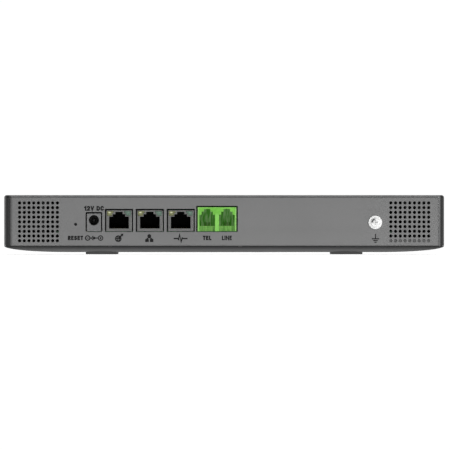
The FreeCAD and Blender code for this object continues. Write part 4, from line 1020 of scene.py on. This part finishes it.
def backdrop():
    """White for the camera. The object sees a studio that is darker behind the camera."""
    behind_camera, behind_object, seen = 0.10, 0.45, 1.02
    world = bpy.data.worlds.new("studio")
    scene.world = world
    world.use_nodes = True
    sky = Nodes(world.node_tree)
    direction = sky.node("TexCoord").outputs["Generated"]
    ramp = {
        "Value": sky.node("SeparateXYZ", {0: direction}).outputs["Y"],
        "From Min": -0.60,
        "From Max": 0.60,
        "To Min": behind_camera,
        "To Max": behind_object,
    }
    studio = sky.node("MapRange", ramp, interpolation_type="SMOOTHSTEP").outputs[0]
    camera_ray = sky.node("LightPath").outputs["Is Camera Ray"]
    pick = sky.node("MapRange", {"Value": camera_ray, "To Min": studio, "To Max": seen})
    inputs = {"Color": (1.0, 1.0, 1.0, 1.0), "Strength": pick.outputs[0]}
    light = sky.node("Background", inputs).outputs[0]
    sky.node("OutputWorld", {0: light})


def area(name, at, aim, size, power):
    """A rectangular light. size is its width and height."""
    light = bpy.data.lights.new(name, "AREA")
    light.energy = power
    light.shape = "RECTANGLE"
    light.size, light.size_y = size
    obj = bpy.data.objects.new(name, light)
    obj.location = at
    obj.rotation_euler = (Vector(aim) - Vector(at)).to_track_quat("-Z", "Y").to_euler()
    scene.collection.objects.link(obj)


REAR_AIM = (0.0, -0.08, 0.02)
MIDDLE_AIM = (0.0, 0.0, 0.02)

floor()
backdrop()
area("key", at=(1.10, -1.25, 0.50), aim=REAR_AIM, size=(0.5, 0.5), power=8.0)
area("front_top", at=(0.0, -1.25, 1.15), aim=REAR_AIM, size=(2.4, 0.5), power=9.0)
area("side_left", at=(-1.5, 0.75, 0.35), aim=MIDDLE_AIM, size=(0.9, 0.9), power=3.5)
area("over", at=(0.2, 0.45, 1.5), aim=MIDDLE_AIM, size=(1.2, 0.6), power=9.0)

DISTANCE = 12.0  # from the camera to the rear panel
SPAN = 0.27610  # width of the view at the panel
SENSOR = 36.0
lens = bpy.data.cameras.new("camera")
lens.sensor_width = SENSOR
lens.lens = SENSOR * DISTANCE / SPAN
lens.clip_start, lens.clip_end = 0.1, 60.0
camera = bpy.data.objects.new("camera", lens)
camera.location = (0.00055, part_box("rear_panel")[0].y - DISTANCE, 0.01805)
camera.rotation_euler = (math.pi / 2, 0.0, 0.0)
scene.collection.objects.link(camera)
scene.camera = camera
scene.view_settings.view_transform = "Standard"
scene.view_settings.look = "None"
